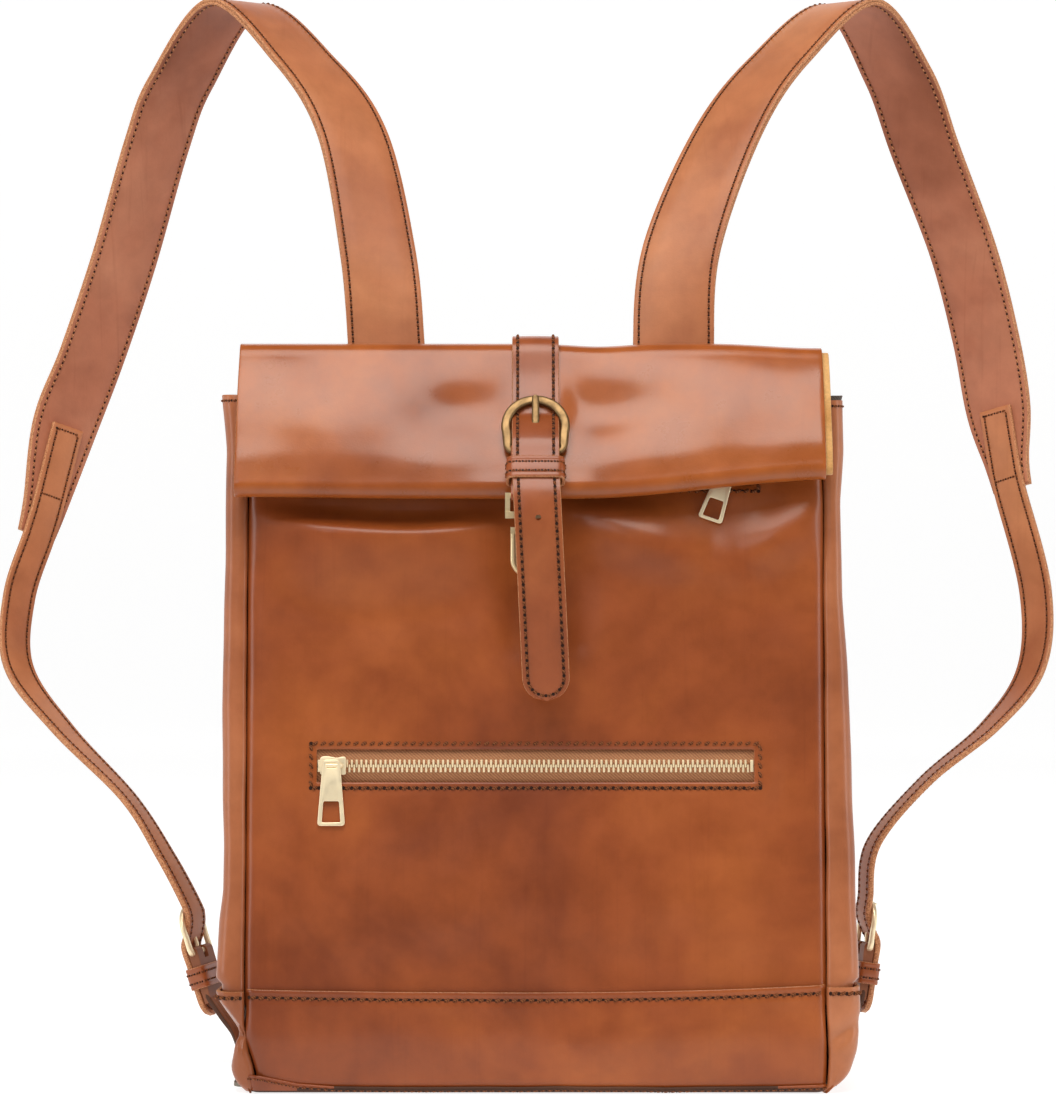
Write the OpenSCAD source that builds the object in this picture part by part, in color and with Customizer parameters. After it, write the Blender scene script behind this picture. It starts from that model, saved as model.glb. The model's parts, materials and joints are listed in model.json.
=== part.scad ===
// Roll-top leather backpack: leather shell, rolled mouth flap with a buckled closing strap,
// two zipped front pockets and two looped shoulder straps with adjuster buckles.
// +Z is up, the front faces -Y, and the origin is the centre of the underside.
// All sizes are in millimetres.

/* [Body] */
// Width across the side gussets
bag_w = 330; // [300:2:360]
// Width of the front and back panels, between their side seams
panel_w = 306; // [280:2:316]
// Depth at the top of the base band
base_d = 100; // [90:2:120]
// Depth at the mouth, under the roll
mouth_d = 30; // [26:1:32]
// Height of the mouth's edge above the ground
mouth_z = 362; // [350:1:364]
// Height of the base band
band_h = 54; // [40:1:70]
// Thickness of the shell leather
leather = 2; // [1.6:0.1:2.2]

/* [Roll] */
// Height of the roll's top fold, which is also the axis it opens on
roll_axis_z = 382; // [380:1:384]
// Drop from the fold axis to the centre of the lower roll
roll_drop = 63.5; // [60:0.5:66]
// How far the lower roll stands in front of the fold axis
roll_out = 36.5; // [35:0.5:38]

/* [Closing strap] */
// Width of the closing strap
closing_w = 25; // [22:1:25]
// Height of the strap's free tip
tip_z = 206; // [190:1:230]

/* [Zips] */
// Length of a pocket zip's window
zip_window_l = 231; // [180:1:240]
// Height of a pocket zip's window
zip_window_h = 17; // [15:1:19]
// Height of the front pocket zip
front_zip_z = 171; // [150:1:190]
// Height of the upper pocket zip
upper_zip_z = 328; // [324:1:329]

/* [Shoulder straps] */
// Width of a shoulder strap
shoulder_w = 40; // [34:1:42]
// Width of an adjuster strap
adjuster_w = 20; // [18:1:20]
// Thickness of one strap layer
layer = 1.9; // [1.5:0.1:2]

/* [Hidden] */
$fn = 48;
hull_fn = 32;
gap = 0.3;              // clearance left between neighbouring pieces
sliver = 0.01;          // thickness of the slabs that a hull is stretched between

// Colours
tan_leather = [0.66, 0.33, 0.16];
pale_leather = [0.74, 0.47, 0.28];
flesh_side = [0.80, 0.58, 0.30];
brass = [0.72, 0.62, 0.38];
old_brass = [0.55, 0.47, 0.28];
tape_brown = [0.48, 0.30, 0.18];
cloth_grey = [0.30, 0.29, 0.28];
board_grey = [0.45, 0.42, 0.38];

// Shell
panel_hw = panel_w / 2;
bag_hw = bag_w / 2;
base_hd = base_d / 2;
mouth_hd = mouth_d / 2;
panel_rise = mouth_z - band_h;
panel_lean = atan2(base_hd - mouth_hd, panel_rise);
corner_r = 8;
band_lap = 8;           // how far the shell runs down behind the base band
band_y = base_hd + 1.2; // inner face of the base band
floor_t = 2.5;
board_t = 2;

// Roll
fold_r = 9;             // fold radius of the outer layer, at mid-thickness
lobe_r = 5.5;           // lower roll radius of the outer layer, at mid-thickness
ply_gap = 0.5;
inner_fold_r = fold_r - leather - ply_gap;
inner_lobe_r = 3.2;
roll_left = -157;
roll_right = 151.5;
inner_left = -154;
inner_right = 155;
fold_c = [0, roll_axis_z];
lobe_c = [-roll_out, roll_axis_z - roll_drop];
outer_back_leg = [-24.5, 342];
inner_back_leg = [-30.2, 332];

// Closing strap and its buckle, in the YZ plane
closing_t = 3;
bar_r = 1.6;
bar_hole_r = 1.7;
chape_r = 3;
chape_w = 18;
roll_slope = tangent_angle(fold_c, lobe_c, fold_r + leather / 2, lobe_r + leather / 2);
roll_out_dir = polar(1, roll_slope);
roll_down_dir = polar(1, roll_slope - 90);
fold_edge = fold_c + (fold_r + leather / 2) * roll_out_dir;
bar_drop = 58;          // distance down the roll's face to the buckle's bar
bar_off = 5;            // height of the bar off the roll's face
closing_bar = fold_edge + bar_drop * roll_down_dir + bar_off * roll_out_dir;
hook_bar = [-51.5, 313.5];
chape_lean = atan2(closing_bar[0] - hook_bar[0], closing_bar[1] - hook_bar[1]);
chape_dir = [sin(chape_lean), cos(chape_lean)];
strap_off = chape_r + gap + closing_t / 2;
strap_behind = 3;       // how far a threaded strap lies behind its buckle's middle
tip_shift = 6;          // how far the free end hangs to the right
frame_t = 2.5;
closing_ring_r = 18;
closing_ring_c = 15;
shoulder_ring_r = 14;
shoulder_ring_c = 12;

// Snap hook
hook_x = -4;
hook_w = 24;
hook_t = 4;
hook_rod = 1.75;
stud_r = 2;
stud_hole_r = 2.06;

// Zips
tooth_pitch = 2.54;
tooth_w = 1.15;
tooth_l = 3.4;
tooth_t = 2.6;
tooth_span = 218;       // length of the closed row of teeth
tape_t = 0.8;
tape_w = 14;
tape_edge = 1.3;         // gap from the zip's centre line to the tape
front_slider_x = -107;
upper_slider_x = 100;
pull_bar_off = 2.2;     // height of the pull's hinge bar off the panel face
upper_pull_tilt = 22;
pocket_t = 3;

// Shoulder straps, seen from the front: [x, y, z, turn of the width about Z, width]
left_route = [
    [-80, 21, 368, 0, shoulder_w], [-81, 24, 398, 0, shoulder_w],
    [-86, 34, 448, 12, shoulder_w], [-101, 60, 515, 26, shoulder_w],
    [-128, 82, 557, 36, shoulder_w], [-168, 110, 592, 42, shoulder_w],
    [-202, 141, 552, 35, shoulder_w], [-217, 153, 517, 35, shoulder_w],
    [-237, 166, 452, 35, shoulder_w], [-256, 168, 396, 36, shoulder_w],
    [-271, 164, 356, 35, shoulder_w - 1], [-281, 155, 312, 36, 28],
    [-286, 150, 293, 36, 23]
];
right_route = [
    [78, 21, 368, 0, shoulder_w], [75, 24, 398, 0, shoulder_w],
    [80, 36, 450, -14, shoulder_w], [106, 62, 515, -28, shoulder_w],
    [136, 86, 558, -38, shoulder_w], [177, 112, 592, -42, shoulder_w],
    [207, 141, 556, -28, shoulder_w], [224, 153, 514, -28, shoulder_w],
    [247, 166, 457, -32, shoulder_w], [260, 168, 408, -34, shoulder_w],
    [267, 163, 366, -36, shoulder_w - 1], [271, 156, 336, -36, 28],
    [274, 153, 320, -36, 24]
];
left_lower_route = [
    [-294, 137, 258, 37, adjuster_w], [-293, 126, 219, 45, adjuster_w],
    [-266, 110, 184, 60, adjuster_w], [-227, 92, 146, 74, adjuster_w],
    [-205, 80, 114, 70, adjuster_w]
];
right_lower_route = [
    [285, 136, 262, -37, adjuster_w], [281, 122, 218, -48, adjuster_w],
    [256, 106, 186, -66, adjuster_w], [218, 90, 156, -78, adjuster_w],
    [188, 79, 122, -77, adjuster_w]
];
left_tab_root = [-168, 67, 9];
right_tab_root = [174, 67, 9];
tab_l = 57;
left_tab_dir = unit([-18, 4, 56]);
right_tab_dir = unit([8, 4, 56]);
left_tab_turn = 68;
right_tab_turn = -77;
tab_stub_w = 26;
route_steps = 4;

// ---------- functions ----------

// A point at radius r and angle a in the YZ plane: 0 is forward, 90 is up.
function polar(r, a) = [-r * cos(a), r * sin(a)];
function arc(c, r, a0, a1, n = 10) = [for (i = [0:n]) c + polar(r, a0 + (a1 - a0) * i / n)];
function unit(v) = v / norm(v);

// Angle of the common outer tangent's normal for circles at c1 and c2.
function tangent_angle(c1, c2, r1, r2) =
    let (v = c2 - c1) atan2(-v[0], -v[1]) - asin((r1 - r2) / norm(v));

function path_dir(p, i) = unit(p[min(i + 1, len(p) - 1)] - p[max(i - 1, 0)]);
function path_side(p, i, d) = let (t = path_dir(p, i)) p[i] + d * [-t[1], t[0]];

// Outline of a strip of thickness t along a 2D path.
function strip(p, t) = concat(
    [for (i = [0:len(p) - 1]) path_side(p, i, t / 2)],
    [for (i = [len(p) - 1:-1:0]) path_side(p, i, -t / 2)]);

function catmull(a, b, c, d, t) =
    0.5 * (2 * b + (c - a) * t + (2 * a - 5 * b + 4 * c - d) * t * t + (3 * b - a - 3 * c + d) * t * t * t);
function smooth(p, steps) = let (last = len(p) - 1) concat(
    [for (i = [0:last - 1]) for (k = [0:steps - 1])
        catmull(p[max(i - 1, 0)], p[i], p[i + 1], p[min(i + 2, last)], k / steps)],
    [p[last]]);

function place(s) = [s[0], s[1], s[2]];
function station_dir(p, i) = unit(place(p[min(i + 1, len(p) - 1)]) - place(p[max(i - 1, 0)]));
function square_to(v, t) = unit(v - (v * t) * t);
function width_dir(s, t) = square_to([cos(s[3]), sin(s[3]), 0], t);

// Stations that lap the end of a route, lifted off its inner face.
function lap(p, count, d) = [for (i = [len(p) - count:len(p) - 1])
    let (t = station_dir(p, i), c = place(p[i]) + d * cross(t, width_dir(p[i], t)))
    [c[0], c[1], c[2], p[i][3], adjuster_w]];

// The four corners of a strap's section, between heights n0 and n1 along its face's normal.
function section(p, i, n0, n1) =
    let (t = station_dir(p, i), w = width_dir(p[i], t), n = cross(t, w), h = p[i][4] / 2, c = place(p[i]))
    [c - h * w + n0 * n, c + h * w + n0 * n, c + h * w + n1 * n, c - h * w + n1 * n];

// Half-depth of the shell's outer face at height z.
function half_depth(z) = base_hd - (base_hd - mouth_hd) * (z - band_h) / panel_rise;

// A buckle's own axes, as a matrix: x along the bar, z up the strap, -y outward.
function buckle_frame_matrix(at, up, bar) =
    let (x = square_to(bar, up), y = cross(up, x))
    [[x[0], y[0], up[0], at[0]], [x[1], y[1], up[1], at[1]], [x[2], y[2], up[2], at[2]], [0, 0, 0, 1]];
function apply(m, v) = let (r = m * [v[0], v[1], v[2], 1]) [r[0], r[1], r[2]];

closing_m = buckle_frame_matrix(
    [0, closing_bar[0], closing_bar[1]],
    [0, -roll_down_dir[0], -roll_down_dir[1]],
    [1, 0, 0]);
function tab_matrix(root, dir, turn) =
    buckle_frame_matrix(root + tab_l * dir, dir, [-cos(turn), -sin(turn), 0]);
left_m = tab_matrix(left_tab_root, left_tab_dir, left_tab_turn);
right_m = tab_matrix(right_tab_root, right_tab_dir, right_tab_turn);

// Where a strap threads a buckle: behind the frame's end, over the bar and down: [y, z] in its axes.
function thread(ring_top, cross_z) = [
    [strap_behind, ring_top], [strap_behind, cross_z + 6], [-0.9, cross_z - 2], [-strap_off, 3.5]];

closing_line = concat(
    arc(fold_c, fold_r + leather / 2 + gap + closing_t / 2 + 0.2, 115, roll_slope, 6),
    [fold_edge + 12 * roll_down_dir + 2.1 * roll_out_dir],
    [for (q = concat(thread(closing_ring_c + closing_ring_r, 17), [[-strap_off, -4]]))
        let (g = apply(closing_m, [0, q[0], q[1]])) [g[1], g[2]]],
    [hook_bar + strap_off * polar(1, chape_lean) + 12 * chape_dir,
     hook_bar + strap_off * polar(1, chape_lean),
     [-58.4, 304], [-58.8, 292], [-57, 262], [-54, 232], [-51, tip_z]]);
function tip_x(z) = z > 330 ? 0 : tip_shift * (330 - z) / (330 - tip_z);

// ---------- helpers ----------

// Extrudes a YZ outline along X between x0 and x1.
module along_x(x0, x1) { translate([x0, 0, 0]) rotate([90, 0, 90]) linear_extrude(x1 - x0) children(); }

// Places children on the front panel's face at x and height z: z runs up the panel, -y is outward.
module on_front(x, z) { translate([x, -half_depth(z), z]) rotate([-panel_lean, 0, 0]) children(); }
module on_back(x, z) { translate([x, half_depth(z), z]) rotate([panel_lean, 0, 0]) children(); }

module box(x0, x1, y0, y1, z0, z1) { translate([x0, y0, z0]) cube([x1 - x0, y1 - y0, z1 - z0]); }

// A closed solid swept along stations, between heights n0 and n1 of the strap's thickness.
module strap(stations, n0, n1) {
    rings = [for (i = [0:len(stations) - 1]) section(stations, i, n0, n1)];
    count = len(rings);
    last = 4 * (count - 1);
    polyhedron(
        points = [for (r = rings) for (q = r) q],
        faces = concat(
            [[0, 1, 2, 3]],
            [for (i = [0:count - 2]) for (k = [0:3])
                let (a = 4 * i + k, b = 4 * i + (k + 1) % 4)
                    each k < 2 ? [[a, a + 4, b], [b, a + 4, b + 4]] : [[a, a + 4, b + 4], [a, b + 4, b]]],
            [[last + 3, last + 2, last + 1, last]]));
}

// A rounded bar between two points.
module rod(a, b, r) {
    v = b - a;
    translate(a)
        rotate([0, acos(v[2] / norm(v)), atan2(v[1], v[0])])
            cylinder(r = r, h = norm(v));
}

// ---------- shell ----------

module slanted_panel(side) {
    z0 = band_h - band_lap;
    along_x(-panel_hw, panel_hw)
        polygon([
            [side * half_depth(z0), z0], [side * half_depth(mouth_z), mouth_z],
            [side * (half_depth(mouth_z) - leather), mouth_z], [side * (half_depth(z0) - leather), z0]]);
}

module zip_window(z) {
    on_front(0, z) cube([zip_window_l, 4 * leather, zip_window_h], center = true);
}

module front_panel() {
    color(tan_leather) difference() {
        slanted_panel(-1);
        zip_window(front_zip_z);
        zip_window(upper_zip_z);
    }
}

module back_panel() { color(tan_leather) slanted_panel(1); }

// Half of a rounded rectangle, from inside the seam out to the side.
module side_profile(hw, hd, r) {
    hull() {
        translate([panel_hw - 2 * corner_r, -hd]) square([1, 2 * hd]);
        for (s = [-1, 1]) translate([hw - r, s * (hd - r)]) circle(r = r, $fn = hull_fn);
    }
}

module side_wedge(inset, z0, z1) {
    hull() for (z = [z0, z1])
        translate([0, 0, z == z0 ? z : z - sliver]) linear_extrude(sliver)
            side_profile(bag_hw - inset, half_depth(z) - inset, corner_r - inset / 2);
}

module gusset() {
    z0 = band_h - band_lap;
    color(tan_leather) difference() {
        side_wedge(0, z0, mouth_z);
        side_wedge(leather, z0 - sliver * 2, mouth_z + sliver * 2);
        box(0, panel_hw + gap, -base_d, base_d, 0, mouth_z * 2);
    }
}

// The base band's side piece: a low channel that wraps both corners.
module base_band_side() {
    out = band_y + leather;
    color(tan_leather) translate([0, 0, floor_t + gap]) linear_extrude(band_h + 2 - floor_t - gap)
        difference() {
            side_profile(bag_hw + leather + gap, out, corner_r + 2);
            side_profile(bag_hw + gap, band_y, corner_r);
            translate([0, -base_d]) square([panel_hw + gap, 2 * base_d]);
        }
}

module base_band_flat(side) {
    y = side > 0 ? band_y : -band_y - leather;
    color(tan_leather) box(-panel_hw, panel_hw, y, y + leather, floor_t + gap, band_h + 2);
}

module bottom_panel() {
    color(tan_leather) linear_extrude(floor_t) hull()
        for (sx = [-1, 1], sy = [-1, 1])
            translate([sx * (bag_hw - 8), sy * (band_y + leather - 10)]) circle(r = 10, $fn = hull_fn);
}

module base_board() {
    color(board_grey) translate([0, 0, floor_t + gap]) linear_extrude(board_t) hull()
        for (sx = [-1, 1], sy = [-1, 1])
            translate([sx * (bag_hw - 14), sy * (band_y - 10)]) circle(r = 8, $fn = hull_fn);
}

// ---------- lining and pocket bags ----------

lining_t = 1;
lining_hw = bag_hw - leather - 3;
lining_z = floor_t + board_t + 1;
lining_front = 7.4;      // from the shell's outer face to the lining, past the pocket bags
lining_back = 4.5;
lining_top = mouth_z - 1;

// The lining's YZ outline, shrunk by a distance on its front, back and floor.
function lining_outline(inset, top) =
    let (front = lining_front + inset, back = lining_back + inset, z0 = lining_z + inset) [
        [front - base_hd, z0], [front - base_hd, band_h],
        [front - half_depth(top), top], [half_depth(top) - back, top],
        [base_hd - back, band_h], [base_hd - back, z0]];

module main_lining() {
    color(cloth_grey) difference() {
        along_x(-lining_hw, lining_hw) polygon(lining_outline(0, lining_top));
        along_x(lining_t - lining_hw, lining_hw - lining_t)
            polygon(lining_outline(lining_t, lining_top + 1));
    }
}

// A flat cloth pocket hung behind a zip, open only along the zip.
module pocket_bag(z_zip, drop) {
    back = leather + 1.9;
    color(cloth_grey) on_front(0, z_zip) difference() {
        translate([-zip_window_l / 2 - 6, back, -drop]) cube([zip_window_l + 12, pocket_t, drop + 12]);
        translate([-zip_window_l / 2 - 5, back + 0.7, 1 - drop])
            cube([zip_window_l + 10, pocket_t - 1.4, drop + 10]);
        translate([-zip_window_l / 2, back - 1, -5]) cube([zip_window_l, 2, 10]);
    }
}

// ---------- zips ----------

tape_y = leather + 0.3;  // front face of the tape, behind the panel's face

module zip_tape(z) {
    color(tape_brown) on_front(0, z) for (s = [-1, 1])
        translate([-zip_window_l / 2 - 4, tape_y, s > 0 ? tape_edge : -tape_w])
            cube([zip_window_l + 8, tape_t, tape_w - tape_edge]);
}

// Teeth of both rows, each a small block that hooks past the centre line.
module zip_teeth(z) {
    count = floor(tooth_span / tooth_pitch);
    over = 0.7;          // how far a tooth reaches past the centre line
    color(brass) on_front(0, z) for (i = [0:count - 1], s = [-1, 1]) {
        x = -tooth_span / 2 + 8 + (i + (s > 0 ? 0.5 : 0)) * tooth_pitch;
        z0 = s > 0 ? -over : over - tooth_l;
        if (x < tooth_span / 2)
            difference() {
                translate([x - tooth_w / 2, tape_y + tape_t / 2 - tooth_t / 2, z0])
                    cube([tooth_w, tooth_t, tooth_l]);
                translate([x - tooth_w, tape_y - 0.05, s > 0 ? tape_edge - 0.1 : -tooth_l])
                    cube([2 * tooth_w, tape_t + 0.1, tooth_l - tape_edge + 0.1]);
            }
    }
}

module zip_stops(z) {
    color(brass) on_front(0, z) for (s = [-1, 1])
        translate([s * (zip_window_l / 2 - 1.2), tape_y - 1.2, 0]) cube([1.6, 1.1, 6.4], center = true);
}

// One edge of a slider's plate; the other is its mirror image.
slider_edge = [[-6, -4], [-5.4, -4.9], [-1, -4.6], [2.5, -3.8], [5.5, -3.9]];
function other_edge(e) = [for (i = [len(e) - 1:-1:0]) [e[i][0], -e[i][1]]];

// Slider: front and back plates on a post, with a bar on two legs for the pull.
module zip_slider(x, z, dir) {
    front_y = tape_y + tape_t / 2 - tooth_t / 2 - 0.25;
    back_y = tape_y + tape_t / 2 + tooth_t / 2 + 0.25;
    color(brass) on_front(x, z) scale_x(dir) {
        for (y = [[front_y - 1.2, 1.2], [back_y, 0.9]])
            translate([0, y[0] + y[1], 0]) rotate([90, 0, 0]) linear_extrude(y[1])
                polygon(concat(slider_edge, other_edge(slider_edge)));
        translate([-4.4, back_y + 0.1, 0]) rotate([90, 0, 0]) cylinder(r = 1.1, h = back_y - front_y + 0.4);
        for (leg = [-4.2, 3.2]) box(leg, leg + 1.1, -pull_bar_off - 0.8, front_y - 1, -0.9, 0.9);
        translate([-4.2, -pull_bar_off, 0]) rotate([0, 90, 0]) cylinder(r = 0.85, h = 8.5);
    }
}
module scale_x(dir) { mirror([dir < 0 ? 1 : 0, 0, 0]) children(); }

// Pull: a barrel round the slider's bar, and a tapered plate with a finger window.
module zip_pull(x, z, tilt, dir) {
    color(brass) on_front(x, z) scale_x(dir) translate([0, -pull_bar_off, 0]) difference() {
        union() {
            translate([-2.6, 0, 0]) rotate([0, 90, 0]) cylinder(r = 1.8, h = 5.2);
            rotate([0, tilt, 0]) translate([0, 1.5, 0]) rotate([90, 0, 0]) linear_extrude(1.3) pull_plate();
        }
        translate([-4, 0, 0]) rotate([0, 90, 0]) cylinder(r = 0.93, h = 8);
    }
}

module pull_plate() {
    difference() {
        hull() {
            translate([0, -2.6]) square([4.2, 2.6], center = true);
            for (s = [-1, 1]) translate([s * 5.4, -29]) circle(r = 1.9);
        }
        hull() for (s = [-1, 1]) {
            translate([s * 4.1, -28]) circle(r = 0.9);
            translate([s * 3.0, -19]) circle(r = 0.9);
        }
    }
}

// ---------- roll ----------

module roll_ply(r1, r2, back_leg, x0, x1, colour) {
    a = tangent_angle(fold_c, lobe_c, r1, r2);
    line = concat(arc(fold_c, r1, 105, a, 8), arc(lobe_c, r2, a, -165, 14), [back_leg]);
    color(colour) along_x(x0, x1) polygon(strip(line, leather));
}

module roll_outer() { roll_ply(fold_r, lobe_r, outer_back_leg, roll_left, roll_right, tan_leather); }
module roll_inner() {
    roll_ply(inner_fold_r, inner_lobe_r, inner_back_leg, inner_left, inner_right, flesh_side);
}

// ---------- closing strap ----------

closing_stations = [for (q = smooth(closing_line, 3)) [tip_x(q[1]), q[0], q[1], 0, closing_w]];

module closing_strap() {
    color(tan_leather) difference() {
        strap(closing_stations, -closing_t / 2, closing_t / 2);
        // slot that the buckle's tongue passes through
        multmatrix(closing_m) hull() for (z = [5, 19])
            translate([0, 8, z]) rotate([90, 0, 0]) cylinder(r = 2.3, h = 18, $fn = hull_fn);
        // free hole below the keeper
        translate([tip_x(302), 0, 302]) rotate([90, 0, 0]) cylinder(r = 1.4, h = 90);
        // rounded tip
        translate([tip_shift, 0, tip_z]) tip_cut(closing_w / 2 + 1);
    }
}

module tip_cut(r) {
    rotate([90, 0, 0]) linear_extrude(90) difference() {
        translate([-2 * r, -r]) square([4 * r, 2 * r - 0.5]);
        translate([-0.6, r - 1.2]) circle(r = r - 1);
    }
}

module closing_strap_back() {
    color(tan_leather) on_back(0, mouth_z) translate([-closing_w / 2, gap, -110])
        cube([closing_w, closing_t, 109]);
}

// Loop of thickness t around a w by d opening, h tall, centred on the local origin.
module loop(w, d, t, h) {
    linear_extrude(h, center = true) difference() {
        square([w + 2 * t, d + 2 * t], center = true);
        square([w, d], center = true);
    }
}

module closing_keeper() {
    color(tan_leather) translate([0, hook_bar[0], hook_bar[1]]) rotate([-chape_lean, 0, 0])
        translate([0, -1.7, 13.5]) loop(closing_w + 3.2, 9.9, 1.3, 12.5);
}

module closing_chape() {
    color(tan_leather) difference() {
        along_x(hook_x - chape_w / 2, hook_x + chape_w / 2) difference() {
            hull() {
                translate(closing_bar) circle(r = chape_r);
                translate(hook_bar) circle(r = chape_r);
            }
            translate(closing_bar) circle(r = bar_hole_r);
            translate(hook_bar) circle(r = bar_hole_r);
        }
        multmatrix(closing_m) box(-2.4, 2.4, -6, 6, -4.4, 8);
    }
}

// Horseshoe frame: a round end, sides that taper to the bar, and a round bar.
module buckle_frame(w, ring_r, ring_c, band) {
    bar_hw = w / 2 + 2.9;
    rotate([90, 0, 0]) linear_extrude(frame_t, center = true) difference() {
        hull() {
            translate([0, ring_c]) circle(r = ring_r);
            translate([-bar_hw, -1.6]) square([2 * bar_hw, 3.2]);
        }
        hull() {
            translate([0, ring_c]) circle(r = ring_r - band);
            translate([0.5 - w / 2 - 0.9, -3]) square([w + 0.8, 1]);
        }
    }
    translate([-bar_hw + 1, 0, 0]) rotate([0, 90, 0]) cylinder(r = bar_r, h = 2 * bar_hw - 2);
}

function prong_line(ring_top) =
    [[-1.2, 1.5], [-1.6, ring_top * 0.5], [-2.35, ring_top - 4], [-2.5, ring_top + 1.4]];

// Tongue: an eye on the bar and a shank that lies on the frame's round end.
module buckle_prong(ring_top) {
    difference() {
        union() {
            translate([-1.8, 0, 0]) rotate([0, 90, 0]) cylinder(r = 2.8, h = 3.6);
            along_x(-1.3, 1.3) polygon(strip(prong_line(ring_top), 1.8));
        }
        translate([-3, 0, 0]) rotate([0, 90, 0]) cylinder(r = bar_hole_r, h = 6);
    }
}

module closing_buckle_frame() {
    color(old_brass) multmatrix(closing_m) buckle_frame(closing_w, closing_ring_r, closing_ring_c, 4);
}
module closing_buckle_prong() {
    color(old_brass) multmatrix(closing_m) buckle_prong(closing_ring_c + closing_ring_r);
}

// ---------- snap hook and ring ----------

module snap_hook_eye() {
    top = hook_bar[1];
    color(old_brass) translate([hook_x, hook_bar[0], 0]) difference() {
        union() {
            translate([-hook_w / 2, 0, top]) rotate([0, 90, 0]) cylinder(r = bar_r, h = hook_w);
            for (s = [-1, 1])
                translate([s * (hook_w / 2 - 1.3), 0, (302.6 + top + 1.5) / 2])
                    cube([2.6, 3.8, top + 1.5 - 302.6], center = true);
            box(-hook_w / 2, hook_w / 2, -2.6, 2.6, 301.6, 305.2);
        }
        translate([0, 0, 300]) cylinder(r = stud_hole_r, h = 8);
    }
}

hook_top = 301;
bow_x = 7.6;             // half-width of the bow, at the rod's centre
bow_z = 280;             // height of the bow's round centre

module snap_hook_body() {
    color(old_brass) translate([hook_x, hook_bar[0], 0]) {
        translate([0, 0, hook_top - 1]) cylinder(r = stud_r, h = 7);
        translate([0, 0, 305.5]) cylinder(r = 3, h = 1.5);
        translate([0, 0, 296.6]) cylinder(r = 4.4, h = 4.6);
        box(-bow_x - 1.6, bow_x + 1.6, -hook_t / 2, hook_t / 2, 293.6, 297);
        translate([-bow_x, 0, bow_z]) cylinder(r = hook_rod, h = 14);
        translate([0, 0, bow_z]) rotate([90, 0, 0])
            rotate_extrude(angle = -180) translate([bow_x, 0]) circle(r = hook_rod);
        translate([bow_x, 0, bow_z]) cylinder(r = hook_rod, h = 3.4);
    }
}

module snap_hook_gate() {
    color(old_brass) translate([hook_x + bow_x, hook_bar[0], 0])
        box(-1.2, 1.2, -1.5, 1.5, bow_z + 3.7, 293);
}

ring_x = 3;
ring_z = 258;
ring_off = 3.1;
ring_r = 10.5;
ring_rod = 1.25;

module ring_tab() {
    color(tan_leather) on_front(ring_x, ring_z) along_x(-7, 7) difference() {
        hull() {
            translate([-ring_off, 0]) circle(r = 2.8);
            translate([-3.1, -24]) square([2.8, 4]);
        }
        translate([-ring_off, 0]) circle(r = ring_rod + 0.1);
    }
}

module front_d_ring() {
    color(old_brass) on_front(ring_x, ring_z) translate([0, -ring_off, 0]) {
        translate([-ring_r, 0, 0]) rotate([0, 90, 0]) cylinder(r = ring_rod, h = 2 * ring_r);
        rotate([90, 0, 0]) rotate_extrude(angle = 180) translate([ring_r, 0]) circle(r = ring_rod);
        for (s = [-1, 1]) translate([ring_r * s, 0, 0]) sphere(r = ring_rod);
    }
}

// ---------- shoulder straps ----------

module strap_patch() {
    color(tan_leather) on_back(0, 330) box(-108, 108, 4.4, 6.2, -16, 10);
}

module strap_root(side) {
    color(tan_leather) on_back(side * 80, mouth_z) box(-shoulder_w / 2, shoulder_w / 2, gap, 4.1, -60, -1);
}

module tab_root_piece(x) {
    y = band_y + leather + gap;
    color(tan_leather) box(x - tab_stub_w / 2, x + tab_stub_w / 2, y, y + closing_t, floor_t + gap, 18);
}

// Where an adjuster strap's free tail lies below its buckle's bar: [y, z] in the buckle's axes.
tail_points = [[-strap_off, -8], [-strap_off, -22], [-strap_off, -36]];

// Stations of an adjuster strap: lapped on the shoulder strap, along its route, then through its buckle.
function adjuster_stations(m, upper, route, turn) = smooth(concat(
    lap(upper, 3, layer + closing_t / 2 + gap),
    route,
    [for (q = concat(thread(shoulder_ring_c + shoulder_ring_r + 1, 12), tail_points))
        let (g = apply(m, [0, q[0], q[1]])) [g[0], g[1], g[2], turn, adjuster_w]]), route_steps);

module adjuster_strap(m, upper, route, turn) {
    color(tan_leather) difference() {
        strap(adjuster_stations(m, upper, route, turn), -closing_t / 2, closing_t / 2);
        multmatrix(m) hull() for (z = [4, 14])
            translate([0, 8, z]) rotate([90, 0, 0]) cylinder(r = 2.3, h = 18, $fn = hull_fn);
    }
}

module shoulder_layer(route, n0, n1, colour) { color(colour) strap(smooth(route, route_steps), n0, n1); }

module lower_tab(m) {
    color(tan_leather) multmatrix(m) difference() {
        along_x(-adjuster_w / 2, adjuster_w / 2) difference() {
            hull() {
                circle(r = 2.9);
                translate([-1.4, 1 - tab_l]) square([2.8, 2]);
            }
            circle(r = bar_hole_r);
        }
        box(-2.4, 2.4, -6, 6, -4.2, 8);
    }
}

module shoulder_keeper(m) {
    color(tan_leather) multmatrix(m) translate([0, -1.85, -14]) loop(adjuster_w + 1, 9.7, 1.4, 12);
}

module shoulder_buckle(m) {
    color(brass) multmatrix(m) buckle_frame(adjuster_w, shoulder_ring_r, shoulder_ring_c, 3.4);
}
module shoulder_prong(m) { color(brass) multmatrix(m) buckle_prong(shoulder_ring_c + shoulder_ring_r); }
module grain_layer(route) { shoulder_layer(route, -layer - 0.05, -0.05, tan_leather); }
module lining_layer(route) { shoulder_layer(route, 0.05, layer + 0.05, pale_leather); }
module adjuster_strap_left() { adjuster_strap(left_m, left_route, left_lower_route, left_tab_turn); }
module adjuster_strap_right() { adjuster_strap(right_m, right_route, right_lower_route, right_tab_turn); }

// ---------- nodes ----------

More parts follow.
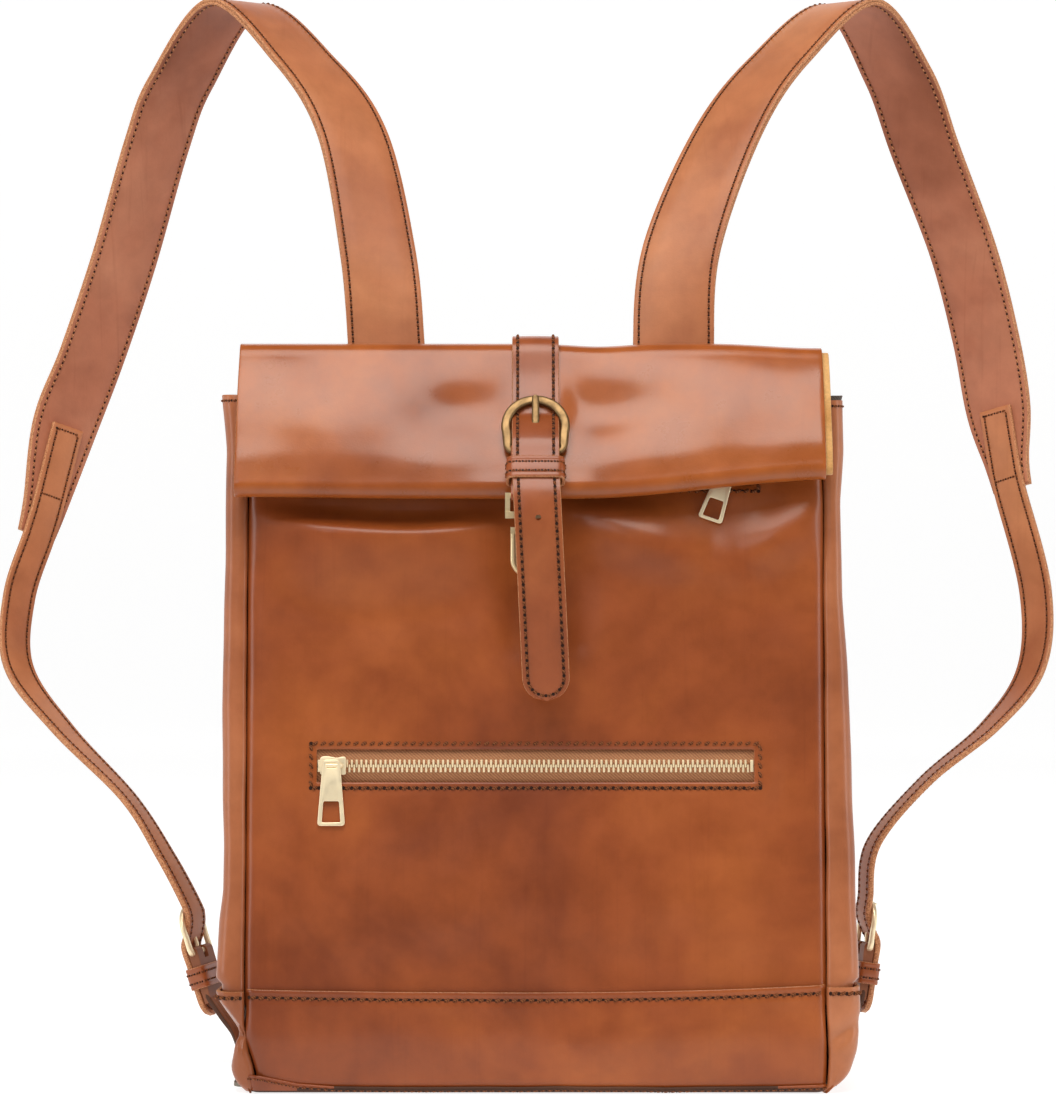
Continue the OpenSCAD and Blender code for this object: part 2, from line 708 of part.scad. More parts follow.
front_panel();
back_panel();
mirror([1, 0, 0]) gusset();  // gusset_left
gusset();  // gusset_right
bottom_panel();
base_band_flat(-1);  // base_band_front
base_band_flat(1);  // base_band_back
mirror([1, 0, 0]) base_band_side();  // base_band_left
base_band_side();  // base_band_right
base_board();
main_lining();
pocket_bag(front_zip_z, 104);  // front_pocket_bag
pocket_bag(upper_zip_z, 118);  // upper_pocket_bag
zip_tape(front_zip_z);  // front_zip_tape
zip_teeth(front_zip_z);  // front_zip_teeth
zip_stops(front_zip_z);  // front_zip_stops
zip_slider(front_slider_x, front_zip_z, 1);  // front_zip_slider
zip_pull(front_slider_x, front_zip_z, 0, 1);  // front_zip_pull
zip_tape(upper_zip_z);  // upper_zip_tape
mirror([1, 0, 0]) zip_teeth(upper_zip_z);  // upper_zip_teeth
zip_stops(upper_zip_z);  // upper_zip_stops
zip_slider(upper_slider_x, upper_zip_z, -1);  // upper_zip_slider
zip_pull(upper_slider_x, upper_zip_z, -upper_pull_tilt, -1);  // upper_zip_pull
roll_outer();
roll_inner();
closing_strap_back();
closing_strap();
closing_keeper();
closing_chape();
closing_buckle_frame();
closing_buckle_prong();
snap_hook_eye();
snap_hook_body();
snap_hook_gate();
ring_tab();
front_d_ring();
strap_patch();
strap_root(-1);  // strap_root_left
strap_root(1);  // strap_root_right
tab_root_piece(left_tab_root[0] + 14);  // tab_root_left
tab_root_piece(right_tab_root[0] - 16);  // tab_root_right
grain_layer(left_route);  // shoulder_strap_left
lining_layer(left_route);  // shoulder_lining_left
adjuster_strap_left();
lower_tab(left_m);  // lower_tab_left
shoulder_buckle(left_m);  // shoulder_buckle_left
shoulder_prong(left_m);  // shoulder_prong_left
shoulder_keeper(left_m);  // shoulder_keeper_left
grain_layer(right_route);  // shoulder_strap_right
lining_layer(right_route);  // shoulder_lining_right
adjuster_strap_right();
lower_tab(right_m);  // lower_tab_right
shoulder_buckle(right_m);  // shoulder_buckle_right
shoulder_prong(right_m);  // shoulder_prong_right
shoulder_keeper(right_m);  // shoulder_keeper_right
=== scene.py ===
import json
import math

import bmesh
import bpy
import numpy as np
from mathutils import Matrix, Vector

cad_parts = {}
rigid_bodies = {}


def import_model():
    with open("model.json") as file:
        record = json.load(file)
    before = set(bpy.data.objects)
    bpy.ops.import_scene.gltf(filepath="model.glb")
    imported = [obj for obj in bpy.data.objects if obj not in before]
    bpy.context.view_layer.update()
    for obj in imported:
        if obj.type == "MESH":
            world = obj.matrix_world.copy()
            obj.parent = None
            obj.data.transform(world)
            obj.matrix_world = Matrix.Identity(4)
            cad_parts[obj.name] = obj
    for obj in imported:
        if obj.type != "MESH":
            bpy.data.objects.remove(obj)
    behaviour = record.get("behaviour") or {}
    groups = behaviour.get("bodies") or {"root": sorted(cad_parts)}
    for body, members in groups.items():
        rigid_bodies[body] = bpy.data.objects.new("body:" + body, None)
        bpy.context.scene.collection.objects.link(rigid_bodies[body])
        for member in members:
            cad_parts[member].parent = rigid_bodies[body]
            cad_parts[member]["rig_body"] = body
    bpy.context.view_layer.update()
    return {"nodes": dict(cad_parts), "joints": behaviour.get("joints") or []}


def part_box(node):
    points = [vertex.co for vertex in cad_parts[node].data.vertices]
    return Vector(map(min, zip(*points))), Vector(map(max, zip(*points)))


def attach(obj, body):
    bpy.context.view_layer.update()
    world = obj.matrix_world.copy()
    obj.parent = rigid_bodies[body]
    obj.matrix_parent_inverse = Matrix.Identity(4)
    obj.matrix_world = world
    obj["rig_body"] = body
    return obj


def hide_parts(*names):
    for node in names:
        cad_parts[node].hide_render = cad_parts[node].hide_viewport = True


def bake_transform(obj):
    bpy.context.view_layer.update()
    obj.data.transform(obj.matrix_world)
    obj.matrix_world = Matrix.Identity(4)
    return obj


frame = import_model()

# Everything below is in millimetres, in the frame's axes, and is scaled when a mesh is made.
MM = 0.001


def unit(v):
    return v / np.linalg.norm(v, axis=-1, keepdims=True)


def low(node):
    return np.array(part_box(node)[0]) / MM


def high(node):
    return np.array(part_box(node)[1]) / MM


JOINTS = {j["name"]: j for j in frame["joints"]}


def joint_point(name):
    return np.array(JOINTS[name]["pos_m"]) / MM


def smoothstep(a, b, t):
    u = np.clip((t - a) / (b - a), 0, 1)
    return u * u * (3 - 2 * u)


def hill(t, width):
    """A smooth bump of height 1 at t = 0."""
    return np.exp(-((t / width) ** 2))


def full_turn(count):
    """Angles evenly spread round a circle."""
    return np.linspace(0, 2 * math.pi, count, endpoint=False)


def squarish(wave, power):
    """A sine or cosine pushed out toward a square's sides: the lower the power, the squarer."""
    return np.sign(wave) * np.abs(wave) ** power


def waves(x, z, seed, length):
    """Soft unevenness between -1 and 1, the same on every run."""
    k = 2 * math.pi / length
    total = np.zeros(np.broadcast(x, z).shape)
    for i in range(5):
        heading = seed * 1.7 + i * 2.4
        along = x * math.cos(heading) + z * math.sin(heading)
        total = total + np.sin(k * (1 + 0.37 * i) * along + seed * 3.1 + i) / (1 + 0.6 * i)
    return total / 2.6


# ---------- sizes ----------

PANEL_HW = high("front_panel")[0]
FOOT_Z = low("front_panel")[2]
MOUTH_Z = high("front_panel")[2]
FOOT_HD = -low("front_panel")[1]
MOUTH_HD = 15.0
SKIN = 2.0
LEAN = math.atan2(FOOT_HD - MOUTH_HD, MOUTH_Z - FOOT_Z)
FRONT_OUT = np.array([0.0, -math.cos(LEAN), math.sin(LEAN)])
FRONT_UP = np.array([0.0, math.sin(LEAN), math.cos(LEAN)])
BACK_OUT = FRONT_OUT * [1, -1, 1]

PULL_OFF = 2.2
FRONT_ZIP_Z = joint_point("front_pull_turn")[2] - PULL_OFF * math.sin(LEAN)
UPPER_ZIP_Z = joint_point("upper_pull_turn")[2] - PULL_OFF * math.sin(LEAN)
FRONT_SLIDER_X = joint_point("front_pull_turn")[0]
UPPER_SLIDER_X = joint_point("upper_pull_turn")[0]
WINDOW_HW = 115.5
WINDOW_HH = 8.5
STITCH_IN = 3.2
RING = joint_point("d_ring_turn")

FOLD = joint_point("roll_top_open")[1:]
CLOSING_BAR = joint_point("closing_prong_turn")[1:]
HOOK_BAR = joint_point("hook_swing")[1:]
ROLL_LEFT = low("roll_outer")[0]
ROLL_RIGHT = high("roll_outer")[0]
INNER_LEFT = low("roll_inner")[0]
INNER_RIGHT = high("roll_inner")[0]


def half_depth(z):
    return MOUTH_HD + (FOOT_HD - MOUTH_HD) * (MOUTH_Z - z) / (MOUTH_Z - FOOT_Z)


# ---------- materials ----------


class Graph:
    """A material and short ways to wire its nodes."""

    def __init__(self, name):
        self.material = bpy.data.materials.new(name)
        self.material.use_nodes = True
        self.tree = self.material.node_tree
        self.shader = self.tree.nodes["Principled BSDF"]
        self.place = self.add("TexCoord").outputs["Object"]

    def add(self, kind):
        return self.tree.nodes.new("ShaderNode" + kind)

    def wire(self, source, target):
        self.tree.links.new(source, target)

    def stretched(self, scale):
        node = self.add("Mapping")
        node.inputs["Scale"].default_value = scale
        self.wire(self.place, node.inputs["Vector"])
        return node.outputs["Vector"]

    def noise(self, vector, scale, detail=3.0, roughness=0.55, distortion=0.0):
        node = self.add("TexNoise")
        node.inputs["Scale"].default_value = scale
        node.inputs["Detail"].default_value = detail
        node.inputs["Roughness"].default_value = roughness
        node.inputs["Distortion"].default_value = distortion
        self.wire(vector, node.inputs["Vector"])
        return node.outputs["Fac"]

    def cells(self, vector, scale):
        node = self.add("TexVoronoi")
        node.inputs["Scale"].default_value = scale
        self.wire(vector, node.inputs["Vector"])
        return node.outputs["Distance"]

    def wave(self, vector, scale, distortion):
        """Diagonal bands."""
        node = self.add("TexWave")
        node.bands_direction = "DIAGONAL"
        node.inputs["Scale"].default_value = scale
        node.inputs["Distortion"].default_value = distortion
        self.wire(vector, node.inputs["Vector"])
        return node.outputs["Fac"]

    def ramp(self, value, stops):
        node = self.add("ValToRGB")
        ramp = node.color_ramp
        while len(ramp.elements) < len(stops):
            ramp.elements.new(0.5)
        for element, (at, colour) in zip(ramp.elements, stops):
            element.position = at
            element.color = colour if len(colour) == 4 else (*colour, 1.0)
        self.wire(value, node.inputs["Fac"])
        return node.outputs["Color"]

    def mix(self, share, a, b, mode="MIX"):
        node = self.add("Mix")
        node.data_type = "RGBA"
        node.blend_type = mode
        for source, target in ((share, node.inputs[0]), (a, node.inputs[6]), (b, node.inputs[7])):
            if isinstance(source, bpy.types.NodeSocket):
                self.wire(source, target)
            elif isinstance(source, float):
                target.default_value = source
            else:
                target.default_value = (*source, 1.0)
        return node.outputs[2]

    def spread(self, value, out_low, out_high, in_low=0.3, in_high=0.7):
        node = self.add("MapRange")
        node.inputs["From Min"].default_value = in_low
        node.inputs["From Max"].default_value = in_high
        node.inputs["To Min"].default_value = out_low
        node.inputs["To Max"].default_value = out_high
        self.wire(value, node.inputs["Value"])
        return node.outputs["Result"]

    def bump(self, height, strength, depth_mm, normal=None):
        node = self.add("Bump")
        node.inputs["Strength"].default_value = strength
        node.inputs["Distance"].default_value = depth_mm * MM
        self.wire(height, node.inputs["Height"])
        if normal is not None:
            self.wire(normal, node.inputs["Normal"])
        return node.outputs["Normal"]

    def colour(self, socket):
        self.wire(socket, self.shader.inputs["Base Color"])

    def roughness(self, socket):
        self.wire(socket, self.shader.inputs["Roughness"])

    def normal(self, socket):
        self.wire(socket, self.shader.inputs["Normal"])

    def set(self, **values):
        for name, value in values.items():
            self.shader.inputs[name.replace("_", " ")].default_value = value


def srgb(r, g, b):
    """A colour given as it looks, from 0 to 255, in the renderer's linear units."""
    return tuple((c / 255 / 12.92) if c <= 10 else ((c / 255 + 0.055) / 1.055) ** 2.4 for c in (r, g, b))


def leather(name, dark, mid, light, rough=0.33, coat=0.35, coat_rough=0.16, grain=0.6, streaks=0.35,
            across=(300.0, 30.0, 9.0)):
    """Vegetable-tanned leather: cloudy dye, hairline creases down the hide, fine pores and a waxed gloss."""
    g = Graph(name)
    clouds = g.noise(g.place, 8.0, 4.0, 0.6, 0.4)
    patches = g.noise(g.place, 46.0, 5.0, 0.65)
    dye = g.ramp(clouds, [(0.33, dark), (0.5, mid), (0.68, light)])
    mottle = g.ramp(patches, [(0.36, (0.86, 0.84, 0.82)), (0.62, (1.06, 1.05, 1.03))])
    dye = g.mix(0.75, dye, mottle, "MULTIPLY")
    down = g.stretched(across)
    hair = g.noise(down, 1.0, 2.0, 0.5, 0.8)
    hair_tint = g.ramp(hair, [(0.40, (1.0, 1.0, 1.0)), (0.58, (1.0, 1.0, 1.0)), (0.74, (0.86, 0.82, 0.79))])
    g.colour(g.mix(streaks, dye, hair_tint, "MULTIPLY"))
    g.roughness(g.spread(patches, rough - 0.05, rough + 0.08))
    creases = g.bump(hair, 0.10 * streaks, 0.5)
    soft = g.bump(g.noise(g.place, 110.0, 3.0, 0.5), 0.16, 0.8, creases)
    pores = g.bump(g.cells(g.place, 1100.0), 0.22 * grain, 0.12, soft)
    g.normal(g.bump(g.noise(g.place, 900.0, 2.0, 0.5), 0.3 * grain, 0.15, pores))
    g.set(Coat_Weight=coat, Coat_Roughness=coat_rough, Specular_IOR_Level=0.28)
    return g.material


def suede(name, dark, light):
    """The flesh side: short loose fibres, no gloss."""
    g = Graph(name)
    nap = g.noise(g.place, 700.0, 4.0, 0.7)
    broad = g.noise(g.place, 60.0, 3.0, 0.5)
    base = g.ramp(broad, [(0.35, dark), (0.65, light)])
    fuzz = g.ramp(nap, [(0.35, (0.72, 0.70, 0.66)), (0.65, (1.12, 1.1, 1.08))])
    g.colour(g.mix(0.5, base, fuzz, "MULTIPLY"))
    g.normal(g.bump(nap, 0.6, 0.35))
    g.set(Roughness=0.95, Sheen_Weight=0.35, Specular_IOR_Level=0.2)
    return g.material


def cut_edge(name, core, fleck, rough=0.7):
    """A cut leather edge, with the fibres of the hide showing as flecks."""
    g = Graph(name)
    fibres = g.noise(g.place, 1300.0, 3.0, 0.7)
    g.colour(g.ramp(fibres, [(0.40, fleck), (0.55, core)]))
    g.normal(g.bump(fibres, 0.5, 0.2))
    g.set(Roughness=rough, Specular_IOR_Level=0.2)
    return g.material


def metal(name, colour, dull, rough, patina, metallic=0.88):
    """Plated brass, with a soft brushed surface and a darker film in patches."""
    g = Graph(name)
    film = g.noise(g.place, 260.0, 4.0, 0.6)
    g.colour(g.mix(g.spread(film, 0.0, patina, 0.45, 0.7), colour, dull))
    g.roughness(g.spread(film, rough - 0.05, rough + 0.14))
    g.normal(g.bump(g.noise(g.place, 1500.0, 2.0, 0.5), 0.12, 0.05))
    g.set(Metallic=metallic)
    return g.material


def cloth(name, dark, light, threads_mm):
    """Twill: fine diagonal ribs of thread."""
    g = Graph(name)
    ribs = g.wave(g.place, 1 / threads_mm / MM / 6.0, 0.6)
    fuzz = g.noise(g.place, 1500.0, 2.0, 0.6)
    weave = g.ramp(ribs, [(0.25, dark), (0.75, light)])
    g.colour(g.mix(0.4, weave, g.ramp(fuzz, [(0.3, dark), (0.7, light)])))
    g.normal(g.bump(ribs, 0.5, 0.15))
    g.set(Roughness=0.85, Sheen_Weight=0.2)
    return g.material


def thread(name, dark, light):
    """Waxed twisted thread."""
    g = Graph(name)
    twist = g.wave(g.place, 380.0, 1.0)
    g.colour(g.ramp(twist, [(0.2, dark), (0.8, light)]))
    g.normal(g.bump(twist, 0.4, 0.1))
    g.set(Roughness=0.7, Specular_IOR_Level=0.15)
    return g.material


def board(name):
    g = Graph(name)
    pulp = g.noise(g.place, 420.0, 4.0, 0.7)
    g.colour(g.ramp(pulp, [(0.35, srgb(112, 102, 90)), (0.65, srgb(140, 130, 116))]))
    g.normal(g.bump(pulp, 0.3, 0.2))
    g.set(Roughness=0.9)
    return g.material


SHELL = leather("shell_leather", srgb(120, 54, 21), srgb(146, 71, 29), srgb(166, 87, 37),
                rough=0.36, coat=0.3, coat_rough=0.2)
SIDE = leather("side_leather", srgb(142, 77, 43), srgb(168, 98, 60), srgb(184, 114, 74), rough=0.36, coat=0.3,
               coat_rough=0.2, across=(30.0, 300.0, 9.0))
ROLL = leather("roll_leather", srgb(130, 60, 20), srgb(158, 80, 28), srgb(177, 97, 40), rough=0.30, coat=0.45,
               coat_rough=0.17, streaks=0.25, across=(120.0, 16.0, 40.0))
STRAP = leather("strap_leather", srgb(162, 94, 60), srgb(181, 113, 74), srgb(196, 129, 87),
                rough=0.45, coat=0.12, coat_rough=0.3, grain=0.7, streaks=0.3)
TONGUE = leather("closing_leather", srgb(124, 61, 29), srgb(149, 75, 36), srgb(168, 93, 50),
                 rough=0.34, coat=0.45, coat_rough=0.22, grain=0.6, streaks=0.3)
# The lower tabs' leather is the strap's leather coloured darker: painted shade, for tabs that sit low behind
# the bag in shadow.
SHADED_TAB_LEATHER = leather("tab_leather_painted_shade", srgb(96, 56, 36), srgb(128, 76, 48), srgb(150, 92, 60), rough=0.5, coat=0.05)
SOLE = leather("sole_leather", srgb(58, 34, 22), srgb(74, 44, 28), srgb(92, 56, 36), rough=0.6, coat=0.0)
LINING_LEATHER = leather("strap_lining_leather", srgb(152, 90, 64), srgb(176, 110, 82), srgb(194, 130, 100),
                         rough=0.5, coat=0.05, coat_rough=0.4, grain=0.7, streaks=0.6)
SUEDE = suede("flesh_suede", srgb(198, 143, 82), srgb(227, 178, 116))
RAW_EDGE = cut_edge("raw_edge", srgb(196, 134, 88), srgb(120, 76, 48))
SPECKLED_EDGE = cut_edge("speckled_edge", srgb(176, 142, 108), srgb(92, 70, 54))
PAINTED_EDGE = cut_edge("painted_edge", srgb(206, 146, 104), srgb(150, 92, 58), 0.5)
DARK_THREAD = thread("dark_thread", srgb(82, 42, 22), srgb(136, 80, 46))
PALE_THREAD = thread("pale_thread", srgb(150, 92, 60), srgb(196, 138, 96))
ANTIQUE = metal("antique_brass_metal", srgb(130, 104, 70), srgb(80, 62, 42), 0.36, 0.4)
HOOK = metal("hook_brass_metal", srgb(230, 208, 164), srgb(150, 122, 80), 0.38, 0.25)
GOLD = metal("pale_brass_metal", srgb(252, 234, 196), srgb(226, 198, 146), 0.4, 0.1, 0.72)
TAPE = cloth("zip_tape_cloth", srgb(142, 88, 54), srgb(186, 130, 86), 0.5)
# Near-black needle-hole colour: painted shade, the darkness inside each needle hole laid on a flat disc.
HOLE_SHADE = cut_edge("needle_hole_painted_shade", srgb(52, 26, 14), srgb(38, 19, 10))
LINING = cloth("lining_cloth_twill", srgb(66, 56, 50), srgb(100, 88, 80), 0.5)
BOARD = board("stiffener_board")


# ---------- mesh tools ----------


def make(name, verts, faces, materials, face_slots=None):
    """An object from points in millimetres."""
    mesh = bpy.data.meshes.new(name)
    mesh.from_pydata((np.asarray(verts) * MM).tolist(), [], [tuple(int(i) for i in f) for f in faces])
    for material in materials:
        mesh.materials.append(material)
    if face_slots is not None:
        mesh.polygons.foreach_set("material_index", np.asarray(face_slots, dtype=np.int32))
    mesh.polygons.foreach_set("use_smooth", np.ones(len(mesh.polygons), dtype=bool))
    mesh.update()
    obj = bpy.data.objects.new(name, mesh)
    bpy.context.scene.collection.objects.link(obj)
    return obj


def clean(obj, outward=True):
    """Drops loose points and, on a closed piece, turns every face outward."""
    bm = bmesh.new()
    bm.from_mesh(obj.data)
    bmesh.ops.delete(bm, geom=[v for v in bm.verts if not v.link_faces], context="VERTS")
    if outward:
        bmesh.ops.recalc_face_normals(bm, faces=bm.faces)
    bm.to_mesh(obj.data)
    bm.free()
    return obj


def merge_seam(obj):
    """Joins the points where a closed grid meets itself."""
    bm = bmesh.new()
    bm.from_mesh(obj.data)
    bmesh.ops.remove_doubles(bm, verts=bm.verts, dist=0.02 * MM)
    bm.to_mesh(obj.data)
    bm.free()


def soften(obj, width, angle):
    bevel = obj.modifiers.new("soft_edges", "BEVEL")
    bevel.width = width * MM
    bevel.segments = 2
    bevel.limit_method = "ANGLE"
    bevel.angle_limit = math.radians(angle)
    bevel.miter_outer = "MITER_ARC"
    return obj


def sheet_of(name, grid, materials, thickness=SKIN, keep=None, flip=False, edge=0.45):
    """A leather sheet from a grid of points: materials are its face, its back and its cut edge."""
    rows, cols = grid.shape[:2]
    index = np.arange(rows * cols).reshape(rows, cols)
    quads = np.stack([index[:-1, :-1], index[1:, :-1], index[1:, 1:], index[:-1, 1:]], -1)
    if keep is not None:
        quads = quads[keep]
    quads = quads.reshape(-1, 4)
    if flip:
        quads = quads[:, ::-1]
    obj = clean(make(name, grid.reshape(-1, 3), quads, materials), outward=False)
    solid = obj.modifiers.new("thickness", "SOLIDIFY")
    solid.thickness = thickness * MM
    solid.offset = -1
    solid.material_offset = 1
    solid.material_offset_rim = 2
    return soften(obj, edge, 60)


def sweep(name, centre, side, face, section, materials, edge_tags=None, closed=False):
    """A closed solid: a section of (across, height) points carried along a line."""
    count = len(centre)
    section = np.broadcast_to(section, (count,) + section.shape[-2:])
    points = centre[:, None] + section[..., :1] * side[:, None] + section[..., 1:] * face[:, None]
    around = section.shape[1]
    index = np.arange(count * around).reshape(count, around)
    ring_next = np.roll(index, -1, axis=1)
    if closed:
        a, b, c, d = index, ring_next, np.roll(ring_next, -1, axis=0), np.roll(index, -1, axis=0)
    else:
        a, b, c, d = index[:-1], ring_next[:-1], ring_next[1:], index[1:]
    faces = np.stack([a, b, c, d], -1).reshape(-1, 4).tolist()
    tags = np.zeros(around, int) if edge_tags is None else edge_tags
    slots = np.tile(tags, len(a)).tolist()
    if not closed:
        faces += [index[0].tolist()[::-1], index[-1].tolist()]
        slots += [int(max(tags))] * 2
    return clean(make(name, points.reshape(-1, 3), faces, materials, slots))


def spread_along(points, pitch):
    """Arc lengths of a line's points, and how many whole pitches fit."""
    steps = np.linalg.norm(np.diff(points, axis=0), axis=1)
    length = np.concatenate([[0], np.cumsum(steps)])
    return length, max(2, int(round(length[-1] / pitch)))


# The rings of one stitch: place along its half length, size and lift.
STITCH_RINGS = [(-1.0, 0.25, -0.9), (-0.72, 0.85, -0.1), (0.0, 1.0, 0.3), (0.72, 0.85, -0.1),
                (1.0, 0.25, -0.9)]
STITCH_SIDES = 6
# The painted-shade discs of the needle holes: their size against the thread's radius, and their lift off the
# leather.
HOLE_SHADE_SIZE = 1.1
HOLE_SHADE_LIFT = 0.12
# The thick rope-like stitching of the panel, the bands and the side pieces.
ROPE = {"share": 0.88, "slant": 0.36, "radius": 1.0}


def stitches(name, runs, material, pitch=3.6, radius=0.66, share=0.62, slant=0.09):
    """Rows of stitches with their needle holes, each hole a flat near-black disc that paints the shade inside
    it: a run is its points and the outward direction at each.
    """
    verts, faces, slots = [], [], []
    turn = full_turn(STITCH_SIDES)
    for points, normals in runs:
        length, count = spread_along(points, pitch)
        middle = (np.arange(count) + 0.5) * length[-1] / count
        half = 0.5 * share * length[-1] / count
        gap = 0.5 * length[-1] / count
        place = {}
        for key, shift in (("at", 0), ("ahead", half), ("behind", -half), ("hole", -gap)):
            place[key] = np.stack([np.interp(middle + shift, length, points[:, k]) for k in range(3)], -1)
        up = unit(np.stack([np.interp(middle, length, normals[:, k]) for k in range(3)], -1))
        forward = unit(place["ahead"] - place["behind"])
        across = unit(np.cross(up, forward))
        along = unit(forward + slant * across)
        for i in range(count):
            base = len(verts)
            for t, size, lift in STITCH_RINGS:
                ring = place["at"][i] + along[i] * t * half + up[i] * lift * radius
                for angle in turn:
                    spoke = math.cos(angle) * across[i] + math.sin(angle) * up[i]
                    verts.append(ring + radius * size * spoke)
            for r in range(len(STITCH_RINGS) - 1):
                for k in range(STITCH_SIDES):
                    a = base + r * STITCH_SIDES + k
                    b = base + r * STITCH_SIDES + (k + 1) % STITCH_SIDES
                    faces.append((a, b, b + STITCH_SIDES, a + STITCH_SIDES))
            last = base + (len(STITCH_RINGS) - 1) * STITCH_SIDES
            faces.append(tuple(base + k for k in reversed(range(STITCH_SIDES))))
            faces.append(tuple(last + k for k in range(STITCH_SIDES)))
            slots += [0] * (len(faces) - len(slots))
            # Each needle hole: a flat disc just over the leather, coloured near-black as painted shade.
            base = len(verts)
            centre = place["hole"][i] + HOLE_SHADE_LIFT * up[i]
            for angle in turn:
                spoke = math.cos(angle) * across[i] + math.sin(angle) * forward[i]
                verts.append(centre + radius * HOLE_SHADE_SIZE * spoke)
            faces.append(tuple(base + k for k in reversed(range(STITCH_SIDES))))
            slots.append(1)
    return make(name, verts, faces, [material, HOLE_SHADE], slots)


def on_surface(surface, a, b, outward):
    """A run of points over a surface of two coordinates, with its outward directions."""
    small, lift = 0.4, 0.05
    da = surface(a + small, b) - surface(a - small, b)
    db = surface(a, b + small) - surface(a, b - small)
    normal = unit(np.cross(da, db))
    sign = np.where((normal * outward).sum(-1, keepdims=True) < 0, -1.0, 1.0)
    return surface(a, b) + lift * normal * sign, normal * sign


def rounded(corners, radius, steps=5):
    """A closed outline with its corners rounded."""
    p = np.array(corners, float)
    out = []
    for i in range(len(p)):
        a, b, c = p[i - 1], p[i], p[(i + 1) % len(p)]
        r = min(radius, 0.45 * np.linalg.norm(a - b), 0.45 * np.linalg.norm(c - b))
        start, stop = b + r * unit(a - b), b + r * unit(c - b)
        for t in np.linspace(0, 1, steps):
            out.append((1 - t) ** 2 * start + 2 * t * (1 - t) * b + t * t * stop)
    return np.array(out)


def plate(name, loops, thickness, bevel, material, place):
    """A flat metal piece with rolled edges: an outline and its holes, moved into place by a function."""
    curve = bpy.data.curves.new(name, "CURVE")
    curve.dimensions = "2D"
    curve.fill_mode = "BOTH"
    curve.extrude = thickness / 2 - bevel
    curve.bevel_depth = bevel
    curve.bevel_resolution = 2
    curve.offset = -bevel
    for loop in loops:
        spline = curve.splines.new("POLY")
        spline.points.add(len(loop) - 1)
        for point, (x, y) in zip(spline.points, loop):
            point.co = (x, y, 0, 1)
        spline.use_cyclic_u = True
    obj = bpy.data.objects.new(name, curve)
    bpy.context.scene.collection.objects.link(obj)
    mesh = bpy.data.meshes.new_from_object(obj.evaluated_get(bpy.context.evaluated_depsgraph_get()))
    bpy.data.objects.remove(obj)
    verts = np.array([v.co for v in mesh.vertices])
    faces = [tuple(f.vertices) for f in mesh.polygons]
    piece = make(name, place(verts), faces, [material])
    merge_seam(piece)
    return clean(piece)


def belongs(piece, body, node=None):
    """Moves with a body, and takes a CAD node's place if one is named."""
    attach(piece, body)
    if node:
        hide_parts(node)
    return piece


def stands_for(piece, node):
    """Moves with a CAD node's own body and takes that node's place."""
    return belongs(piece, frame["nodes"][node]["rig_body"], node)


def copy_of(node, material, bevel):
    """A CAD node's shape with its edges rounded off, standing for that node."""
    source = frame["nodes"][node]
    bm = bmesh.new()
    bm.from_mesh(source.data)
    bmesh.ops.remove_doubles(bm, verts=bm.verts, dist=2e-6)
    bmesh.ops.dissolve_limit(bm, angle_limit=math.radians(1.5), verts=bm.verts, edges=bm.edges)
    mesh = bpy.data.meshes.new(node + "_piece")
    bm.to_mesh(mesh)
    bm.free()
    mesh.materials.clear()
    mesh.materials.append(material)
    mesh.polygons.foreach_set("use_smooth", np.ones(len(mesh.polygons), dtype=bool))
    mesh.polygons.foreach_set("material_index", np.zeros(len(mesh.polygons), dtype=np.int32))
    obj = bpy.data.objects.new(node + "_piece", mesh)
    bpy.context.scene.collection.objects.link(obj)
    soften(obj, bevel, 40)
    shading = obj.modifiers.new("even_shading", "WEIGHTED_NORMAL")
    shading.keep_sharp = True
    return stands_for(obj, node)


def lines(start, stop, step, *extra):
    """Evenly spread values that also hit each extra one."""
    base = np.linspace(start, stop, int(round((stop - start) / step)) + 1)
    extra = np.array(extra, float)
    if len(extra):
        near = np.min(np.abs(base[:, None] - extra[None]), axis=1) < step * 0.45
        near[0] = near[-1] = False
        base = np.sort(np.concatenate([base[~near], extra]))
    return base


# ---------- camera, light and floor ----------

CAMERA_PLACE = (-0.004, -2.25, 0.285)
CAMERA_LENS = 137.1


def set_camera():
    data = bpy.data.cameras.new("camera")
    data.sensor_width = 36
    data.lens = CAMERA_LENS
    data.clip_end = 20
    camera = bpy.data.objects.new("camera", data)
    camera.location = CAMERA_PLACE
    camera.rotation_euler = (math.radians(90), 0, 0)
    bpy.context.scene.collection.objects.link(camera)
    bpy.context.scene.camera = camera


def area_light(name, place, aim, size, power, colour=(1, 1, 1)):
    data = bpy.data.lights.new(name, "AREA")
    data.shape = "RECTANGLE"
    data.size, data.size_y = size
    data.energy = power
    data.color = colour
    light = bpy.data.objects.new(name, data)
    light.location = place
    light.rotation_euler = (Vector(aim) - Vector(place)).to_track_quat("-Z", "Y").to_euler()
    bpy.context.scene.collection.objects.link(light)


def set_studio():
    world = bpy.data.worlds.new("studio")
    world.use_nodes = True
    world.node_tree.nodes["Background"].inputs["Color"].default_value = (1, 1, 1, 1)
    world.node_tree.nodes["Background"].inputs["Strength"].default_value = 0.12
    bpy.context.scene.world = world
    bpy.context.scene.view_settings.view_transform = "Standard"
    area_light("top_front", (-0.1, -0.9, 1.9), (0, 0, 0.35), (1.5, 1.2), 34, (1.0, 0.96, 0.9))
    area_light("front_fill", (-0.9, -2.3, 1.5), (0, 0, 0.25), (1.0, 0.8), 6)
    area_light("left_side", (-1.9, -0.7, 0.6), (0, 0, 0.25), (0.6, 1.4), 9)
    area_light("right_side", (1.9, -0.6, 0.7), (0, 0, 0.25), (0.6, 1.4), 9)
    area_light("back", (0.0, 1.9, 1.7), (0, 0.2, 0.2), (2.2, 1.0), 10)


